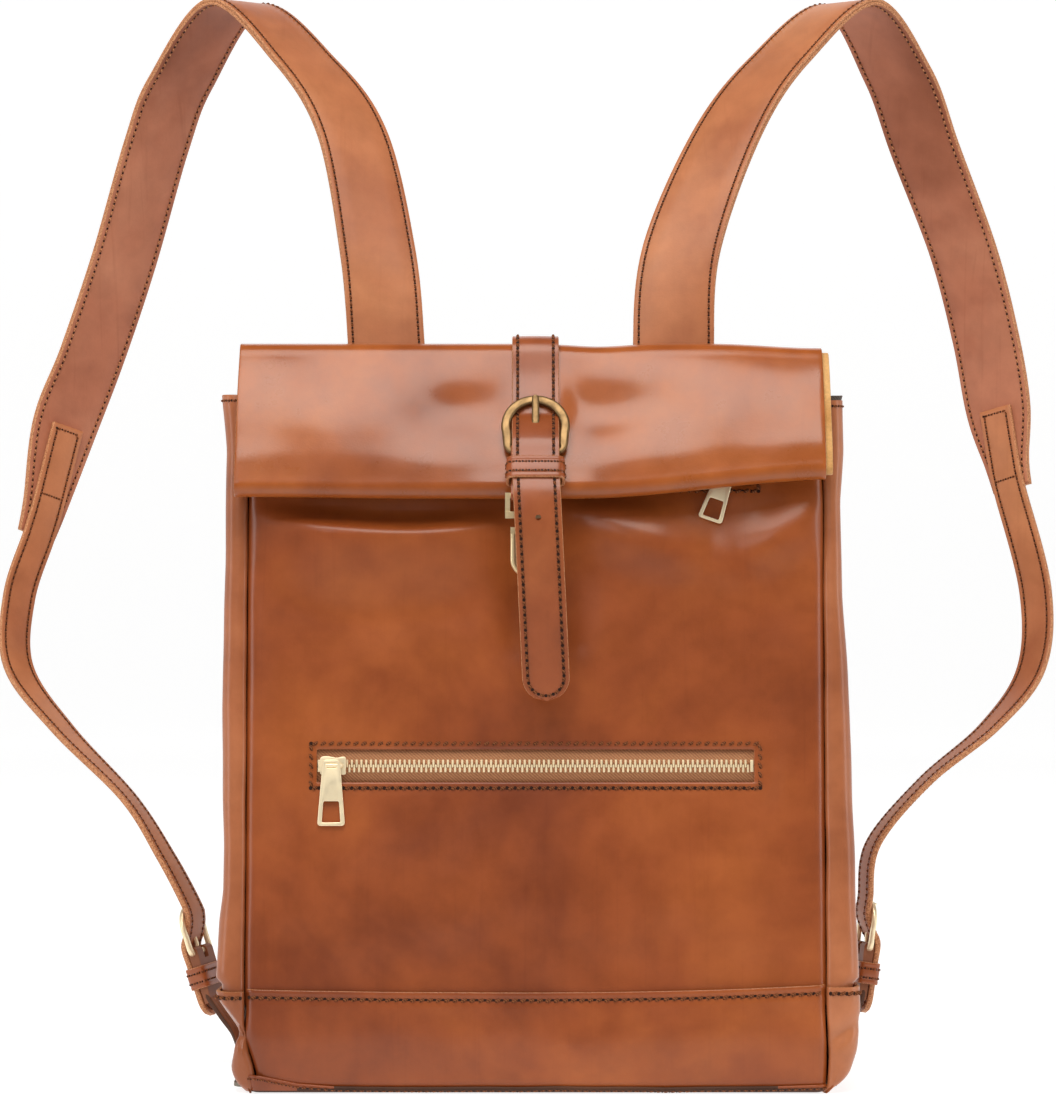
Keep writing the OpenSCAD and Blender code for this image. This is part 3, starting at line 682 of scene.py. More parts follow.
def set_floor():
    """A round floor that glows, brighter behind the bag than in front, and curves up into a wall well behind
    the camera on every side.
    """
    flat, radius, sectors = 4.0, 2.0, 96
    profile = [(0.02, 0.0), (1.0, 0.0), (2.5, 0.0), (flat, 0.0)]
    for a in np.linspace(0.06, math.pi / 2, 24):
        profile.append((flat + radius * math.sin(a), radius - radius * math.cos(a)))
    profile.append((flat + radius, 2.4))
    turn = full_turn(sectors)
    verts = [(r * math.cos(t), r * math.sin(t), z - 0.0004) for r, z in profile for t in turn]
    faces = [tuple(range(sectors))]
    for i in range(len(profile) - 1):
        for k in range(sectors):
            a, b = i * sectors + k, i * sectors + (k + 1) % sectors
            faces.append((a, b, b + sectors, a + sectors))
    floor = make("floor", np.array(verts) / MM, faces, [])
    g = Graph("glowing_floor")
    # The floor glows although it is no lamp. Grey in colour, it is made white by its own emission, which is
    # dimmer in front of the bag and brighter behind it.
    g.set(Base_Color=(0.4, 0.4, 0.4, 1), Roughness=0.9, Specular_IOR_Level=0.1, Emission_Strength=0.82)
    split = g.add("SeparateXYZ")
    g.wire(g.place, split.inputs["Vector"])
    glow = g.spread(split.outputs["Y"], 0.22, 1.0, -0.6, -0.3)
    g.wire(g.mix(glow, (0.0, 0.0, 0.0), (1.0, 1.0, 1.0)), g.shader.inputs["Emission Color"])
    floor.data.materials.append(g.material)


# ---------- shell ----------

SEAM_DIP = 3.6
SEAM_ROUND = 8.0
BACK_TOP = 352.0
# Half-width of the bag's sides at each height, with the pinched corner on the left.
LEFT_SIDE = [(0, 151), (4, 156.5), (12, 160.5), (20, 159), (26, 158), (31, 157), (36, 160.5),
             (42, 165), (47, 167.5), (57, 168.5), (90, 167), (105, 165), (130, 165), (200, 166.5),
             (260, 165.5), (338, 165), (367, 168)]
RIGHT_SIDE = [(0, 152), (3, 158), (9.5, 165), (22, 169), (43, 171), (57, 170.5), (150, 168), (200, 167),
              (260, 163.5), (311, 162.5), (338, 164.5), (366, 164.5)]
GUSSET_TOP = 368.0
BAND_TOP = 54.0
BAND_PROUD = 3.2
# Points left off each end of a side piece's stitched row, where the seam turns in.
ROW_ENDS = 4
# How far stitched rows lie below the edge they hold, and how much lower the right side piece ends.
FACE_ROW_DOWN = 4.2
SIDE_ROW_DOWN = 3.2
RIGHT_DROP = 3.0
# Soft folds of the front: where each starts and ends as (x, z), its half-width and its height.
FRONT_FOLDS = [((20, 300), (92, 281), 17, 9.0), ((110, 278), (150, 306), 15, 7.5),
               ((-146, 250), (-128, 100), 14, 1.5), ((147, 270), (132, 120), 14, 1.6)]


def seam_dip(x):
    """How far a face rounds back into the seams at its two sides."""
    side = np.clip((np.abs(x) - (PANEL_HW - SEAM_ROUND)) / SEAM_ROUND, 0, 1)
    return SEAM_DIP * (1 - np.sqrt(1 - side ** 2))


def domed(x):
    """1 at the middle, falling away to the sides."""
    return 1 - (x / 160) ** 2


def calm(x, z):
    """0 where the leather is held flat by a zip or the ring's tab, and 1 well away from them."""
    held = np.zeros(np.broadcast(x, z).shape)
    for at in (FRONT_ZIP_Z, UPPER_ZIP_Z):
        beside = 1 - smoothstep(WINDOW_HW + 2, WINDOW_HW + 16, np.abs(x))
        held = np.maximum(held, beside * (1 - smoothstep(9, 24, np.abs(z - at))))
    tab = (1 - smoothstep(13, 34, np.abs(x - RING[0]))) * (1 - smoothstep(18, 34, np.abs(z - RING[2] + 4)))
    return 1 - np.maximum(held, tab)


def ridge(x, z, a, b, width, height):
    """A soft fold along the line from a to b, each an (x, z) place."""
    a, b = np.array(a, float), np.array(b, float)
    d = b - a
    t = np.clip(((x - a[0]) * d[0] + (z - a[1]) * d[1]) / (d @ d), 0, 1)
    away = np.hypot(x - a[0] - t * d[0], z - a[1] - t * d[1])
    return height * hill(away, width) * np.sin(math.pi * (0.12 + 0.76 * t))


def front_swell(x, z):
    """How far the front leather stands off its flat plane."""
    belly = 3.2 * hill(z - 106, 34) * domed(x)
    chest = 2.4 * hill(z - 236, 36) * domed(x)
    sag = 301 - 6 * np.cos((x + 70) / 45)
    left = smoothstep(0, -56, x) * smoothstep(-162, -105, x)
    shelf = 13.0 * smoothstep(sag + 10, sag - 3, z) * smoothstep(sag - 50, sag + 3, z) * left
    folds = sum(ridge(x, z, *fold) for fold in FRONT_FOLDS)
    soft = 0.8 * waves(x, z, 1.0, 150) + 0.35 * waves(x, z, 2.0, 60)
    return (belly + chest + folds + soft) * calm(x, z) + shelf - seam_dip(x)


def zip_press(x, z):
    """The stitched line round each window presses in, and the turned edge rolls in."""
    press = 0.0
    for at in (FRONT_ZIP_Z, UPPER_ZIP_Z):
        dx = np.abs(x) - WINDOW_HW
        dz = np.abs(z - at) - WINDOW_HH
        away = np.where((dx > 0) & (dz > 0), np.hypot(dx, dz), np.maximum(dx, dz))
        press = press - 0.45 * hill(away - STITCH_IN, 1.1) - 0.7 * hill(away, 1.1)
    return press


def front_point(x, z):
    out = front_swell(x, z) + zip_press(x, z)
    return np.stack([x + 0 * z, -half_depth(z) - out * math.cos(LEAN) + 0 * x, z + out * math.sin(LEAN)], -1)


def back_point(x, z):
    soft = 0.7 * waves(x, z, 3.0, 170) - 1.0 * hill(z - 200, 80) * domed(x)
    out = soft - seam_dip(x)
    return np.stack([x + 0 * z, half_depth(z) + out * math.cos(LEAN) + 0 * x, z + out * math.sin(LEAN)], -1)


def build_front_panel():
    xs = lines(-PANEL_HW, PANEL_HW, 2.5, -WINDOW_HW, WINDOW_HW)
    edges = [at + s * WINDOW_HH for at in (FRONT_ZIP_Z, UPPER_ZIP_Z) for s in (-1, 1)]
    zs = lines(FOOT_Z, MOUTH_Z, 2.5, *edges)
    x, z = np.meshgrid(xs, zs, indexing="ij")
    mid_x = 0.5 * (xs[:-1] + xs[1:])[:, None]
    mid_z = 0.5 * (zs[:-1] + zs[1:])[None]
    keep = np.ones((len(xs) - 1, len(zs) - 1), bool)
    for at in (FRONT_ZIP_Z, UPPER_ZIP_Z):
        keep &= ~((np.abs(mid_x) < WINDOW_HW) & (np.abs(mid_z - at) < WINDOW_HH))
    panel = sheet_of("front_leather", front_point(x, z), [SHELL, SUEDE, RAW_EDGE], keep=keep)
    belongs(panel, "bag", "front_panel")
    runs = []
    for at in (FRONT_ZIP_Z, UPPER_ZIP_Z):
        hw, hh = WINDOW_HW + STITCH_IN, WINDOW_HH + STITCH_IN
        for s in (-1, 1):
            across = np.linspace(-hw, hw, 160)
            runs.append(on_surface(front_point, across, across * 0 + at + s * hh, FRONT_OUT))
            up = np.linspace(at - hh, at + hh, 24)
            runs.append(on_surface(front_point, up * 0 + s * hw, up, FRONT_OUT))
    thread_rows("front_window_stitches", runs, "bag", pitch=4.3, **ROPE)


def thread_rows(name, runs, body, material=None, **values):
    rows = stitches(name, runs, material or DARK_THREAD, **values)
    return belongs(rows, body)


def build_back_panel():
    xs = lines(-PANEL_HW, PANEL_HW, 4)
    zs = lines(FOOT_Z, BACK_TOP, 4)
    x, z = np.meshgrid(xs, zs, indexing="ij")
    panel = sheet_of("back_leather", back_point(x, z), [SHELL, SUEDE, RAW_EDGE], flip=True)
    belongs(panel, "bag", "back_panel")


def side_width(z, sign):
    table = np.array(LEFT_SIDE if sign < 0 else RIGHT_SIDE, float)
    shifts = np.linspace(-2.5, 2.5, 5)
    return np.mean([np.interp(z + d, table[:, 0], table[:, 1]) for d in shifts], axis=0)


def foot_tuck(z):
    """How far the shell draws in where it turns under the base."""
    r = 7.0
    return np.where(z < r, r - np.sqrt(np.maximum(r * r - (r - z) ** 2, 0)), 0.0)


def side_plan(z, sign, proud):
    """The side piece's outline at height z, from the front seam round to the back seam."""
    hd = half_depth(max(z, BAND_TOP)) + proud - foot_tuck(z)
    hw = float(side_width(z, sign)) - (BAND_PROUD - proud if z < BAND_TOP + 4 else 0.0)
    room = max(hw - seam_x(z, sign), 2.5)
    dive = min(4.2, room * 0.42)
    r = min(8.0, room * 0.58)
    seam = seam_x(z, sign)
    turn = np.radians(np.linspace(0, 90, 7))
    front = [(seam + dive * (1 - math.cos(a)), -hd + SEAM_DIP * (1 - math.sin(a))) for a in turn]
    front.append((seam + dive + (hw - r - seam - dive) * 0.5, -hd))
    corner = np.radians(np.linspace(0, 90, 8))
    front += [(hw - r + r * math.sin(a), -hd + r - r * math.cos(a)) for a in corner]
    half = np.array(front)
    side = np.linspace(-1, 1, 17)[1:-1]
    cave = 1.5 + 3.0 * smoothstep(60, 200, z) - 2.0 * smoothstep(300, 366, z)
    flank = np.stack([hw - cave * np.cos(side * math.pi / 2) ** 2, side * (hd - r)], -1)
    back = half[::-1] * [1, -1]
    plan = np.concatenate([half, flank, back])
    plan[:, 0] += 0.35 * waves(plan[:, 1], z, 4.0 + sign, 70)
    return np.stack([sign * plan[:, 0], plan[:, 1], np.full(len(plan), z)], -1)


def seam_x(z, sign):
    wobble = 0.5 * np.sin(z / 11.0) * smoothstep(70, 30, z)
    drawn = 6.0 * smoothstep(34, 8, z) if sign < 0 else 0.0
    return np.minimum(PANEL_HW + 0.1 - drawn, side_width(z, sign) - 5.0 + foot_tuck(z) * 0.3) + wobble


def build_sides():
    for sign, name in ((-1, "left"), (1, "right")):
        zs = lines(FOOT_Z, GUSSET_TOP, 3.5)
        grid = np.stack([side_plan(z, sign, 0.0) for z in zs], 1)
        grid[..., 2] -= (RIGHT_DROP if sign > 0 else 0.0) * smoothstep(330, GUSSET_TOP, zs)[None]
        gusset = sheet_of("gusset_leather_" + name, grid, [SIDE, SUEDE, RAW_EDGE], flip=sign < 0)
        belongs(gusset, "bag", "gusset_" + name)
        band_zs = lines(0.4, BAND_TOP, 2.2)
        grid = np.stack([side_plan(z, sign, BAND_PROUD) for z in band_zs], 1)
        tilt = 1.5 if sign > 0 else -1.0
        grid[..., 2] += (tilt * smoothstep(20, BAND_TOP, band_zs))[None]
        pinch_corner(grid, sign)
        band = sheet_of("base_band_leather_" + name, grid, [SIDE, SIDE, RAW_EDGE], flip=sign < 0)
        belongs(band, "bag", "base_band_" + name)
        top = side_plan(BAND_TOP - SIDE_ROW_DOWN, sign, BAND_PROUD + 0.1)
        top[:, 2] += tilt
        hem = side_plan(GUSSET_TOP - SIDE_ROW_DOWN, sign, 0.1)
        hem[:, 2] -= RIGHT_DROP if sign > 0 else 0.0
        middle = np.array([sign * (PANEL_HW - 30.0), 0, 0])
        for label, row, look in (("band", top, {"pitch": 4.2, **ROPE}), ("hem", hem, {"pitch": 3.6})):
            row = row[ROW_ENDS:-ROW_ENDS]
            run = (row, outward_of(row, middle))
            thread_rows("side_%s_stitches_%s" % (label, name), [run], "bag", **look)


def outward_of(points, middle):
    """Level directions away from the inside of a side piece."""
    ahead = np.gradient(points, axis=0)
    out = np.cross(ahead, [0.0, 0.0, 1.0])
    sign = np.sign(((points - middle) * out).sum(-1, keepdims=True))
    return unit(out * sign)


def pinch_corner(grid, sign):
    """The diagonal fold where a base corner is drawn in."""
    a, b = ((-172, 50), (-152, 26)) if sign < 0 else ((156, 27), (170, 38))
    depth = 4.5 if sign < 0 else 2.4
    front = smoothstep(10, -35, grid[..., 1])
    x, z = grid[..., 0], grid[..., 2]
    valley = ridge(x, z, a, b, 3.0, depth) * front
    grid[..., 1] += valley
    grid[..., 0] -= sign * 0.6 * valley


def band_front_point(x, z):
    """Outer face of the front base band; z runs up from the floor."""
    even = 110
    edge = np.where(x < 0, seam_x(z, -1), seam_x(z, 1)) - 0.6
    beyond = np.abs(x) - even
    squeezed = (even + beyond * (edge - even) / (PANEL_HW - even)) / np.maximum(np.abs(x), 1)
    scale = np.where(beyond > 0, squeezed, 1)
    swell = (0.9 * waves(x, z, 5.0, 110) + 1.2 * hill(z - 26, 16)) * smoothstep(0, 16, z)
    hem = 0.5 * hill(z - BAND_TOP + FACE_ROW_DOWN, 1.2)
    y = -(half_depth(BAND_TOP) + BAND_PROUD) + foot_tuck(z) + seam_dip(x) - swell + hem
    rise = band_rise(x) * smoothstep(10, BAND_TOP, z)
    return np.stack([x * scale, y, z + rise], -1)


def band_rise(x):
    """The band's top edge rises toward both ends."""
    return np.where(x < 0, 1.6 * (x / PANEL_HW) ** 2, 4.0 * (x / PANEL_HW) ** 2) - 1.2


def band_back_point(x, z):
    point = band_front_point(x, z)
    point[..., 1] *= -1
    return point


def build_bands():
    for name, surface, out, flip in (("front", band_front_point, FRONT_OUT, False),
                                     ("back", band_back_point, BACK_OUT, True)):
        x, z = np.meshgrid(lines(-PANEL_HW, PANEL_HW, 2.5), lines(0.4, BAND_TOP, 2.0), indexing="ij")
        band = sheet_of("base_band_leather_" + name, surface(x, z), [SHELL, SUEDE, RAW_EDGE], flip=flip)
        belongs(band, "bag", "base_band_" + name)
        across = np.linspace(-PANEL_HW + 2, PANEL_HW - 2, 160)
        run = on_surface(surface, across, across * 0 + BAND_TOP - FACE_ROW_DOWN, out)
        thread_rows("band_stitches_" + name, [run], "bag", pitch=4.4, **ROPE)


def build_bottom():
    """The bottom leather: a shallow tray whose edge turns up over the bands, higher at the corners."""
    mid_x, hx, hy, r, bend, base_z = 1.0, 151.5, 53.2, 6.0, 4.0, 0.1
    corners = [(1, 1), (-1, 1), (-1, -1), (1, -1)]

    def on_corner(k, a):
        sx, sy = corners[k % 4]
        return np.array([mid_x + sx * (hx - r) + r * math.cos(a), sy * (hy - r) + r * math.sin(a)])

    outline, out = [], []
    for k in range(4):
        for a in np.radians(np.linspace(0, 90, 9) + 90 * k):
            outline.append(on_corner(k, a))
            out.append((math.cos(a), math.sin(a)))
        a = math.radians(90 * (k + 1))
        start, stop = on_corner(k, a), on_corner(k + 1, a)
        for t in np.linspace(0, 1, 16)[1:-1]:
            outline.append(start + (stop - start) * t)
            out.append((math.cos(a), math.sin(a)))
    outline, out = np.array(outline), np.array(out)
    from_corner = np.hypot(np.abs(outline[:, 0] - mid_x) - hx, np.abs(outline[:, 1]) - hy)
    left = smoothstep(20, -20, outline[:, 0])
    uneven = 0.5 * waves(outline[:, 0], outline[:, 1], 8.0, 60)
    lip = 1.3 + (1.2 + 5.6 * left) * hill(from_corner, 22) + uneven

    def level(points, z):
        return np.column_stack([points, np.broadcast_to(z, len(points))])

    centre = np.array([mid_x, 0.0])
    rows = [level(centre + (outline - centre) * (1 - inset / 158.5), base_z) for inset in (150, 60, 25)]
    rows.append(level(outline - out * 5, base_z))
    for a in np.radians((25, 50, 75)):
        rows.append(level(outline - out * bend * (1 - math.sin(a)), base_z + bend * (1 - math.cos(a)) * 0.45))
    for t in (0.5, 1.0):
        flare = (0.5 + 0.28 * lip) * t
        rows.append(level(outline + out * flare[:, None], base_z + bend * 0.4 + lip * t))
    grid = np.stack(rows, 0)
    grid = np.concatenate([grid, grid[:, :1]], 1)
    tray = sheet_of("bottom_leather", grid, [SOLE, SUEDE, SOLE, SHELL], thickness=1.4, flip=True)
    for face in tray.data.polygons:
        if face.center.z > (1.4 if face.center.x < -0.118 else 3.2) * MM:
            face.material_index = 3
    merge_seam(tray)
    belongs(tray, "bag", "bottom_panel")
    rim = grid[-1].copy()
    rim[:, 2] -= 1.8
    normal = np.concatenate([out, out[:1]])
    normal = np.concatenate([normal, np.zeros((len(normal), 1))], -1)
    thread_rows("bottom_stitches", [(rim + 0.1 * normal, normal)], "bag", pitch=3.8, radius=0.4)


def build_lining():
    """The cloth lining, an open bag inside the leather that peeks out at the mouth's corners."""
    rows = []
    for z in lines(6, 365, 8):
        hd_front = half_depth(max(z, BAND_TOP)) - 7.4
        hd_back = half_depth(max(z, BAND_TOP)) - 4.6
        turn = full_turn(120)
        c, s = np.cos(turn), np.sin(turn)
        hw = np.where(c < 0, side_width(z, -1), side_width(z, 1)) - 3.6 - 6.4 * smoothstep(356, 340, z)
        power = 0.22
        x = hw * squarish(c, power)
        y = np.where(s < 0, hd_front, hd_back) * squarish(s, power * 1.4)
        soft = 1.0 * waves(x, z, 6.0, 90) * smoothstep(0, 60, z)
        curl = 4.0 * smoothstep(352, 366, z) * smoothstep(136, 156, np.abs(x))
        rows.append(np.stack([x + np.sign(x) * curl, y * (1 - 0.03 * np.abs(soft)) + 0.3 * soft,
                              z + curl * 0.7 + 0 * x], -1))
    floor = np.stack([rows[0] * [k, k, 1] for k in (0.02, 0.5, 0.9)], 0)
    grid = np.concatenate([floor, np.stack(rows, 0)], 0)
    grid = np.concatenate([grid, grid[:, :1]], 1)
    lining = sheet_of("lining_cloth_bag", grid, [LINING, LINING, LINING], thickness=0.8, flip=True, edge=0.2)
    merge_seam(lining)
    belongs(lining, "bag", "main_lining")


# ---------- roll ----------

CREST = FOLD + [0, 3.8]
LOBE = FOLD + [-36.5, -63.5]
FOLD_R, LOBE_R = 9.0, 5.5
INNER_FOLD_R, INNER_LOBE_R = 6.5, 3.2
OUTER_START = [(15.1, 352), (14.2, 360), (12.5, 369), (10.2, 376.5), (9.0, 382)]
INNER_START = [(-14.0, 361), (-10.5, 366.5), (-4.0, 371.5), (2.8, 376), (6.5, 382)]
# Hollows pressed in beside the closing strap: place along x, half-width, and how far down the face.
ROLL_HOLLOWS = [(-40, 26, 0.46), (38, 30, 0.44)]
HOLLOW_DEPTH = 5.2
HOLLOW_REACH = 0.24


def polar(r, a):
    """A point at radius r and angle a in degrees, as (y, z): 0 is forward and 90 is up."""
    a = np.radians(a)
    return np.stack([-r * np.cos(a), r * np.sin(a)], -1)


def tangent_angle(c1, c2, r1, r2):
    v = c2 - c1
    return math.degrees(math.atan2(-v[0], -v[1]) - math.asin((r1 - r2) / math.hypot(*v)))


def catmull(points, steps):
    p = np.array(points, float)
    last = len(p) - 1
    out = []
    for i in range(last):
        a, b, c, d = p[max(i - 1, 0)], p[i], p[i + 1], p[min(i + 2, last)]
        for k in range(steps):
            t = k / steps
            out.append(0.5 * (2 * b + (c - a) * t + (2 * a - 5 * b + 4 * c - d) * t * t
                              + (3 * b - a - 3 * c + d) * t ** 3))
    out.append(p[last])
    return np.array(out)


def roll_rise(x):
    """The roll's lower edge rises toward its right end, and a little toward the left."""
    return 10.5 * smoothstep(20, 165, x) + 1.0 * smoothstep(-60, -157, x)


def roll_column(x, fold_r, lobe_r, start, back_leg):
    """The ply's middle line at x, as (y, z) points from the mouth over the fold to its inner end."""
    rise = roll_rise(x)
    lobe = LOBE + [0.32 * rise, rise]
    leg = np.array(back_leg) + [0.1 * rise, 0.75 * rise]
    drop = 2.4 * smoothstep(95, 152, x)
    fold = CREST - [0, drop + 1.5 * hill(x - 34, 20)]
    a = tangent_angle(fold, lobe, fold_r, lobe_r)
    lift = catmull(start, 4)
    lift[:, 1] += (fold[1] - FOLD[1]) * np.linspace(0, 1, len(lift)) ** 2
    over = fold + polar(fold_r, np.linspace(180, a, 14))
    under = lobe + polar(lobe_r, np.linspace(a, -165, 16))
    face_t = np.linspace(0, 1, 26)[1:-1, None]
    face = over[-1] + (under[0] - over[-1]) * face_t
    out = polar(1, a)
    t = face_t[:, 0]
    belly = 3.6 * np.sin(math.pi * t ** 0.9) * (1 - hill(x, 30)) + 0.4 * hill(t - 0.84, 0.1)
    dent = -1.2 * hill(abs(x) - 22, 9) * np.sin(math.pi * t) ** 0.7
    uneven = 1.5 * waves(x, 63 * t, 7.0, 95) * np.sin(math.pi * t)
    for at, width, down in ROLL_HOLLOWS:
        dent = dent - HOLLOW_DEPTH * hill(x - at, width) * hill(t - down, HOLLOW_REACH)
    quiet = 1 - 0.75 * hill(x, 15)
    face = face + out * (belly + (dent + uneven) * quiet)[:, None]
    tail = under[-1] + (leg - under[-1]) * np.linspace(0, 1, 9)[1:, None]
    return np.concatenate([lift[:-1], over, face, under, tail])


def roll_grid(x0, x1, step, *shape):
    xs = lines(x0, x1, step)
    return np.stack([np.concatenate([np.full((len(c), 1), x), c], -1)
                     for x in xs for c in [roll_column(x, *shape)]], 0)


def build_roll():
    grid = roll_grid(ROLL_LEFT - 1.3, ROLL_RIGHT + 2.0, 3, FOLD_R, LOBE_R, OUTER_START, (-24.5, 342))
    spread = np.linspace(0, 1, grid.shape[1])
    left = 1 - smoothstep(0, 12, grid[..., 0] - ROLL_LEFT)
    grid[..., 0] -= left * 0.9 * smoothstep(0.35, 0.75, spread)[None]
    outer = sheet_of("roll_outer_leather", out_of(grid, 1.0), [ROLL, SUEDE, SPECKLED_EDGE], flip=True)
    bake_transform(outer)
    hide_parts("roll_outer")
    grid = roll_grid(INNER_LEFT, INNER_RIGHT + 2.2, 3, INNER_FOLD_R, INNER_LOBE_R, INNER_START, (-30.2, 332))
    inner = sheet_of("roll_inner_leather", out_of(grid, 1.0), [SUEDE, SHELL, SPECKLED_EDGE], flip=True)
    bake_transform(inner)
    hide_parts("roll_inner")


def out_of(grid, distance):
    """Moves a grid of columns off its middle line to its outer face."""
    along = np.gradient(grid, axis=1)
    out = unit(np.cross(along, [1.0, 0.0, 0.0]))
    return grid + distance * out


# ---------- straps ----------


def strap_line(stations, steps):
    """A strap's middle line with its width and face directions. Each station is x, y, z, turn, width."""
    s = catmull(stations, steps)
    centre = s[:, :3]
    along = np.empty_like(centre)
    along[1:-1] = centre[2:] - centre[:-2]
    along[0], along[-1] = centre[1] - centre[0], centre[-1] - centre[-2]
    along = unit(along)
    turn = np.radians(s[:, 3])
    side = np.stack([np.cos(turn), np.sin(turn), 0 * turn], -1)
    side = unit(side - (side * along).sum(-1, keepdims=True) * along)
    return {"centre": centre, "side": side, "face": np.cross(along, side), "half": s[:, 4] / 2,
            "length": spread_along(centre, 1)[0]}


def even_line(stations, steps):
    """A strap's line, cut again at even lengths of about 2 mm."""
    line = strap_line(stations, steps)
    length = line["length"][-1]
    return sample(line, np.linspace(0, length, max(3, int(length / 2.0))))


def sample(line, at):
    out = {"length": at}
    for key in ("centre", "side", "face"):
        out[key] = np.stack([np.interp(at, line["length"], line[key][:, k]) for k in range(3)], -1)
    out["half"] = np.interp(at, line["length"], line["half"])
    return out


def strip_section(half, n0, n1, groove=3.0, crown=0.2, edge=0.4):
    """A strip's section for each half-width: flat faces pressed in along the stitching, and rounded edges."""
    half = np.asarray(half, float)
    g = np.minimum(groove, half * 0.4)
    e = np.minimum(edge, half * 0.3)
    lip = 0.7 * g / groove
    across = [-half + e, -half + g - lip, -half + g, -half + g + lip, -0.45 * half, 0 * half]
    across += [-a for a in reversed(across[:-1])]
    shape = [0.0, 0.0, -0.22, 0.0, crown * 0.7, crown, crown * 0.7, 0.0, -0.22, 0.0, 0.0]
    mid, thick = 0.5 * (n0 + n1), n1 - n0
    points, tags = [], []
    for a, h in zip(across, shape):
        points.append((a, n0 - h))
        tags.append(0)
    tags[-1] = 1
    for out, h in ((0.3, -0.38), (0.0, 0.0), (0.3, 0.38)):
        points.append((half - out * e, mid + h * thick))
        tags.append(1)
    for a, h in zip(reversed(across), shape):
        points.append((a, n1 + h))
        tags.append(2)
    tags[-1] = 1
    for out, h in ((0.3, 0.38), (0.0, 0.0), (0.3, -0.38)):
        points.append((-half + out * e, mid + h * thick))
        tags.append(1)
    return np.stack([np.stack([a + 0 * half, h + 0 * half], -1) for a, h in points], 1), np.array(tags)


def round_tip(line):
    """Half-widths that close in a round tip at the line's far end."""
    left = line["length"][-1] - line["length"]
    r = line["half"][-1]
    round_off = np.sqrt(np.clip(1 - (1 - np.clip(left / r, 0, 1)) ** 2, 0, 1))
    return np.maximum(line["half"] * round_off, 0.25)


def strip(name, line, n0, n1, materials, tip=False):
    """A leather strip along a line: materials are its lower face, its edges and its upper face."""
    half = round_tip(line) if tip else line["half"]
    section, tags = strip_section(half, n0, n1)
    return sweep(name, line["centre"], line["side"], line["face"], section, materials, tags)


def edge_run(line, inset, height, sign, start=0.0, stop=None, tip=False):
    """Stitch runs along both edges of a strip, joined round its tip if it has one."""
    stop = line["length"][-1] if stop is None else stop
    half = line["half"][-1]
    if tip:
        centre_at = line["length"][-1] - half
        r = half - inset
        up = np.linspace(start, centre_at, 120)
        turn = np.linspace(0, math.pi, 24)[1:-1]
        at = np.concatenate([up, centre_at + r * np.sin(turn), up[::-1]])
        inner = np.interp(up, line["length"], line["half"]) - inset
        across = np.concatenate([-inner, -r * np.cos(turn), inner[::-1]])
        paths = [(at, across)]
    else:
        at = np.linspace(start, stop, max(8, int((stop - start) / 2)))
        inner = np.interp(at, line["length"], line["half"]) - inset
        paths = [(at, -inner), (at, inner)]
    runs = []
    for at, across in paths:
        here = sample(line, at)
        face = unit(here["face"])
        runs.append((here["centre"] + across[:, None] * unit(here["side"]) + height * face, face * sign))
    return runs


def cross_run(line, at, inset, height, sign):
    """A stitch run across a strip."""
    here = sample(line, np.array([at, at]))
    half = here["half"][0] - inset
    face = unit(here["face"])
    ends = here["centre"] + np.array([[-half], [half]]) * unit(here["side"]) + height * face
    return [(ends, face * sign)]


SHOULDER_W = 41.6
ADJUSTER_W = 20.0
LAYER = 1.9
ROUTES = {
    "left": [
        (-80, 22.6, 350, 0, SHOULDER_W), (-80, 22.2, 368, 0, SHOULDER_W), (-81, 24, 398, 0, SHOULDER_W),
        (-86, 34, 448, 12, SHOULDER_W), (-101, 60, 515, 26, SHOULDER_W), (-128, 82, 557, 36, SHOULDER_W),
        (-168, 110, 592, 42, SHOULDER_W), (-202, 141, 552, 35, SHOULDER_W), (-217, 153, 517, 35, SHOULDER_W),
        (-237, 166, 452, 35, SHOULDER_W), (-256, 168, 396, 36, SHOULDER_W),
        (-271, 164, 356, 35, SHOULDER_W - 1), (-281, 155, 312, 36, 28), (-286, 150, 293, 36, 23)],
    "right": [
        (78, 22.6, 350, 0, SHOULDER_W), (78, 22.2, 368, 0, 43), (75, 24, 398, 0, 44),
        (80, 36, 450, -14, 43), (106, 62, 515, -28, SHOULDER_W), (136, 86, 558, -38, SHOULDER_W),
        (177, 112, 592, -42, SHOULDER_W), (207, 141, 556, -28, SHOULDER_W), (224, 153, 514, -28, SHOULDER_W),
        (247, 166, 457, -32, SHOULDER_W), (260, 168, 408, -34, SHOULDER_W),
        (267, 163, 366, -36, SHOULDER_W - 1), (271, 156, 336, -36, 28), (274, 153, 320, -36, 24)],
}
LOWER_ROUTES = {
    "left": [
        (-294, 137, 258, 37, ADJUSTER_W), (-293, 126, 219, 45, ADJUSTER_W), (-266, 110, 184, 60, ADJUSTER_W),
        (-227, 92, 146, 74, ADJUSTER_W), (-205, 80, 114, 70, ADJUSTER_W)],
    "right": [
        (285, 136, 262, -37, ADJUSTER_W), (281, 122, 218, -48, ADJUSTER_W), (256, 106, 186, -66, ADJUSTER_W),
        (218, 90, 156, -78, ADJUSTER_W), (188, 79, 122, -77, ADJUSTER_W)],
}
TAB_TURN = {"left": 68.0, "right": -77.0}
STRAP_OFF = 4.8
STRAP_T = 3.0
EDGE_ROW_IN = 3.0
SHOULDER_RING = (12.0, 14.0, 3.4)
CLOSING_RING = (15.0, 18.2, 5.0)
CLOSING_W = 25.0


def buckle_axes(at, up, bar):
    """A buckle's own axes as rows: x along the bar, y inward and z up the strap."""
    up = unit(np.array(up, float))
    x = unit(bar - (bar @ up) * up)
    return np.array(at, float), np.array([x, np.cross(up, x), up])


def shoulder_axes(side):
    turn = math.radians(TAB_TURN[side])
    bar = joint_point(side + "_prong_turn")
    root = joint_point(side + "_strap_swing")
    return buckle_axes(bar, bar - root, np.array([-math.cos(turn), -math.sin(turn), 0.0]))


def in_axes(axes, points):
    at, rows = axes
    return at + np.asarray(points, float) @ rows


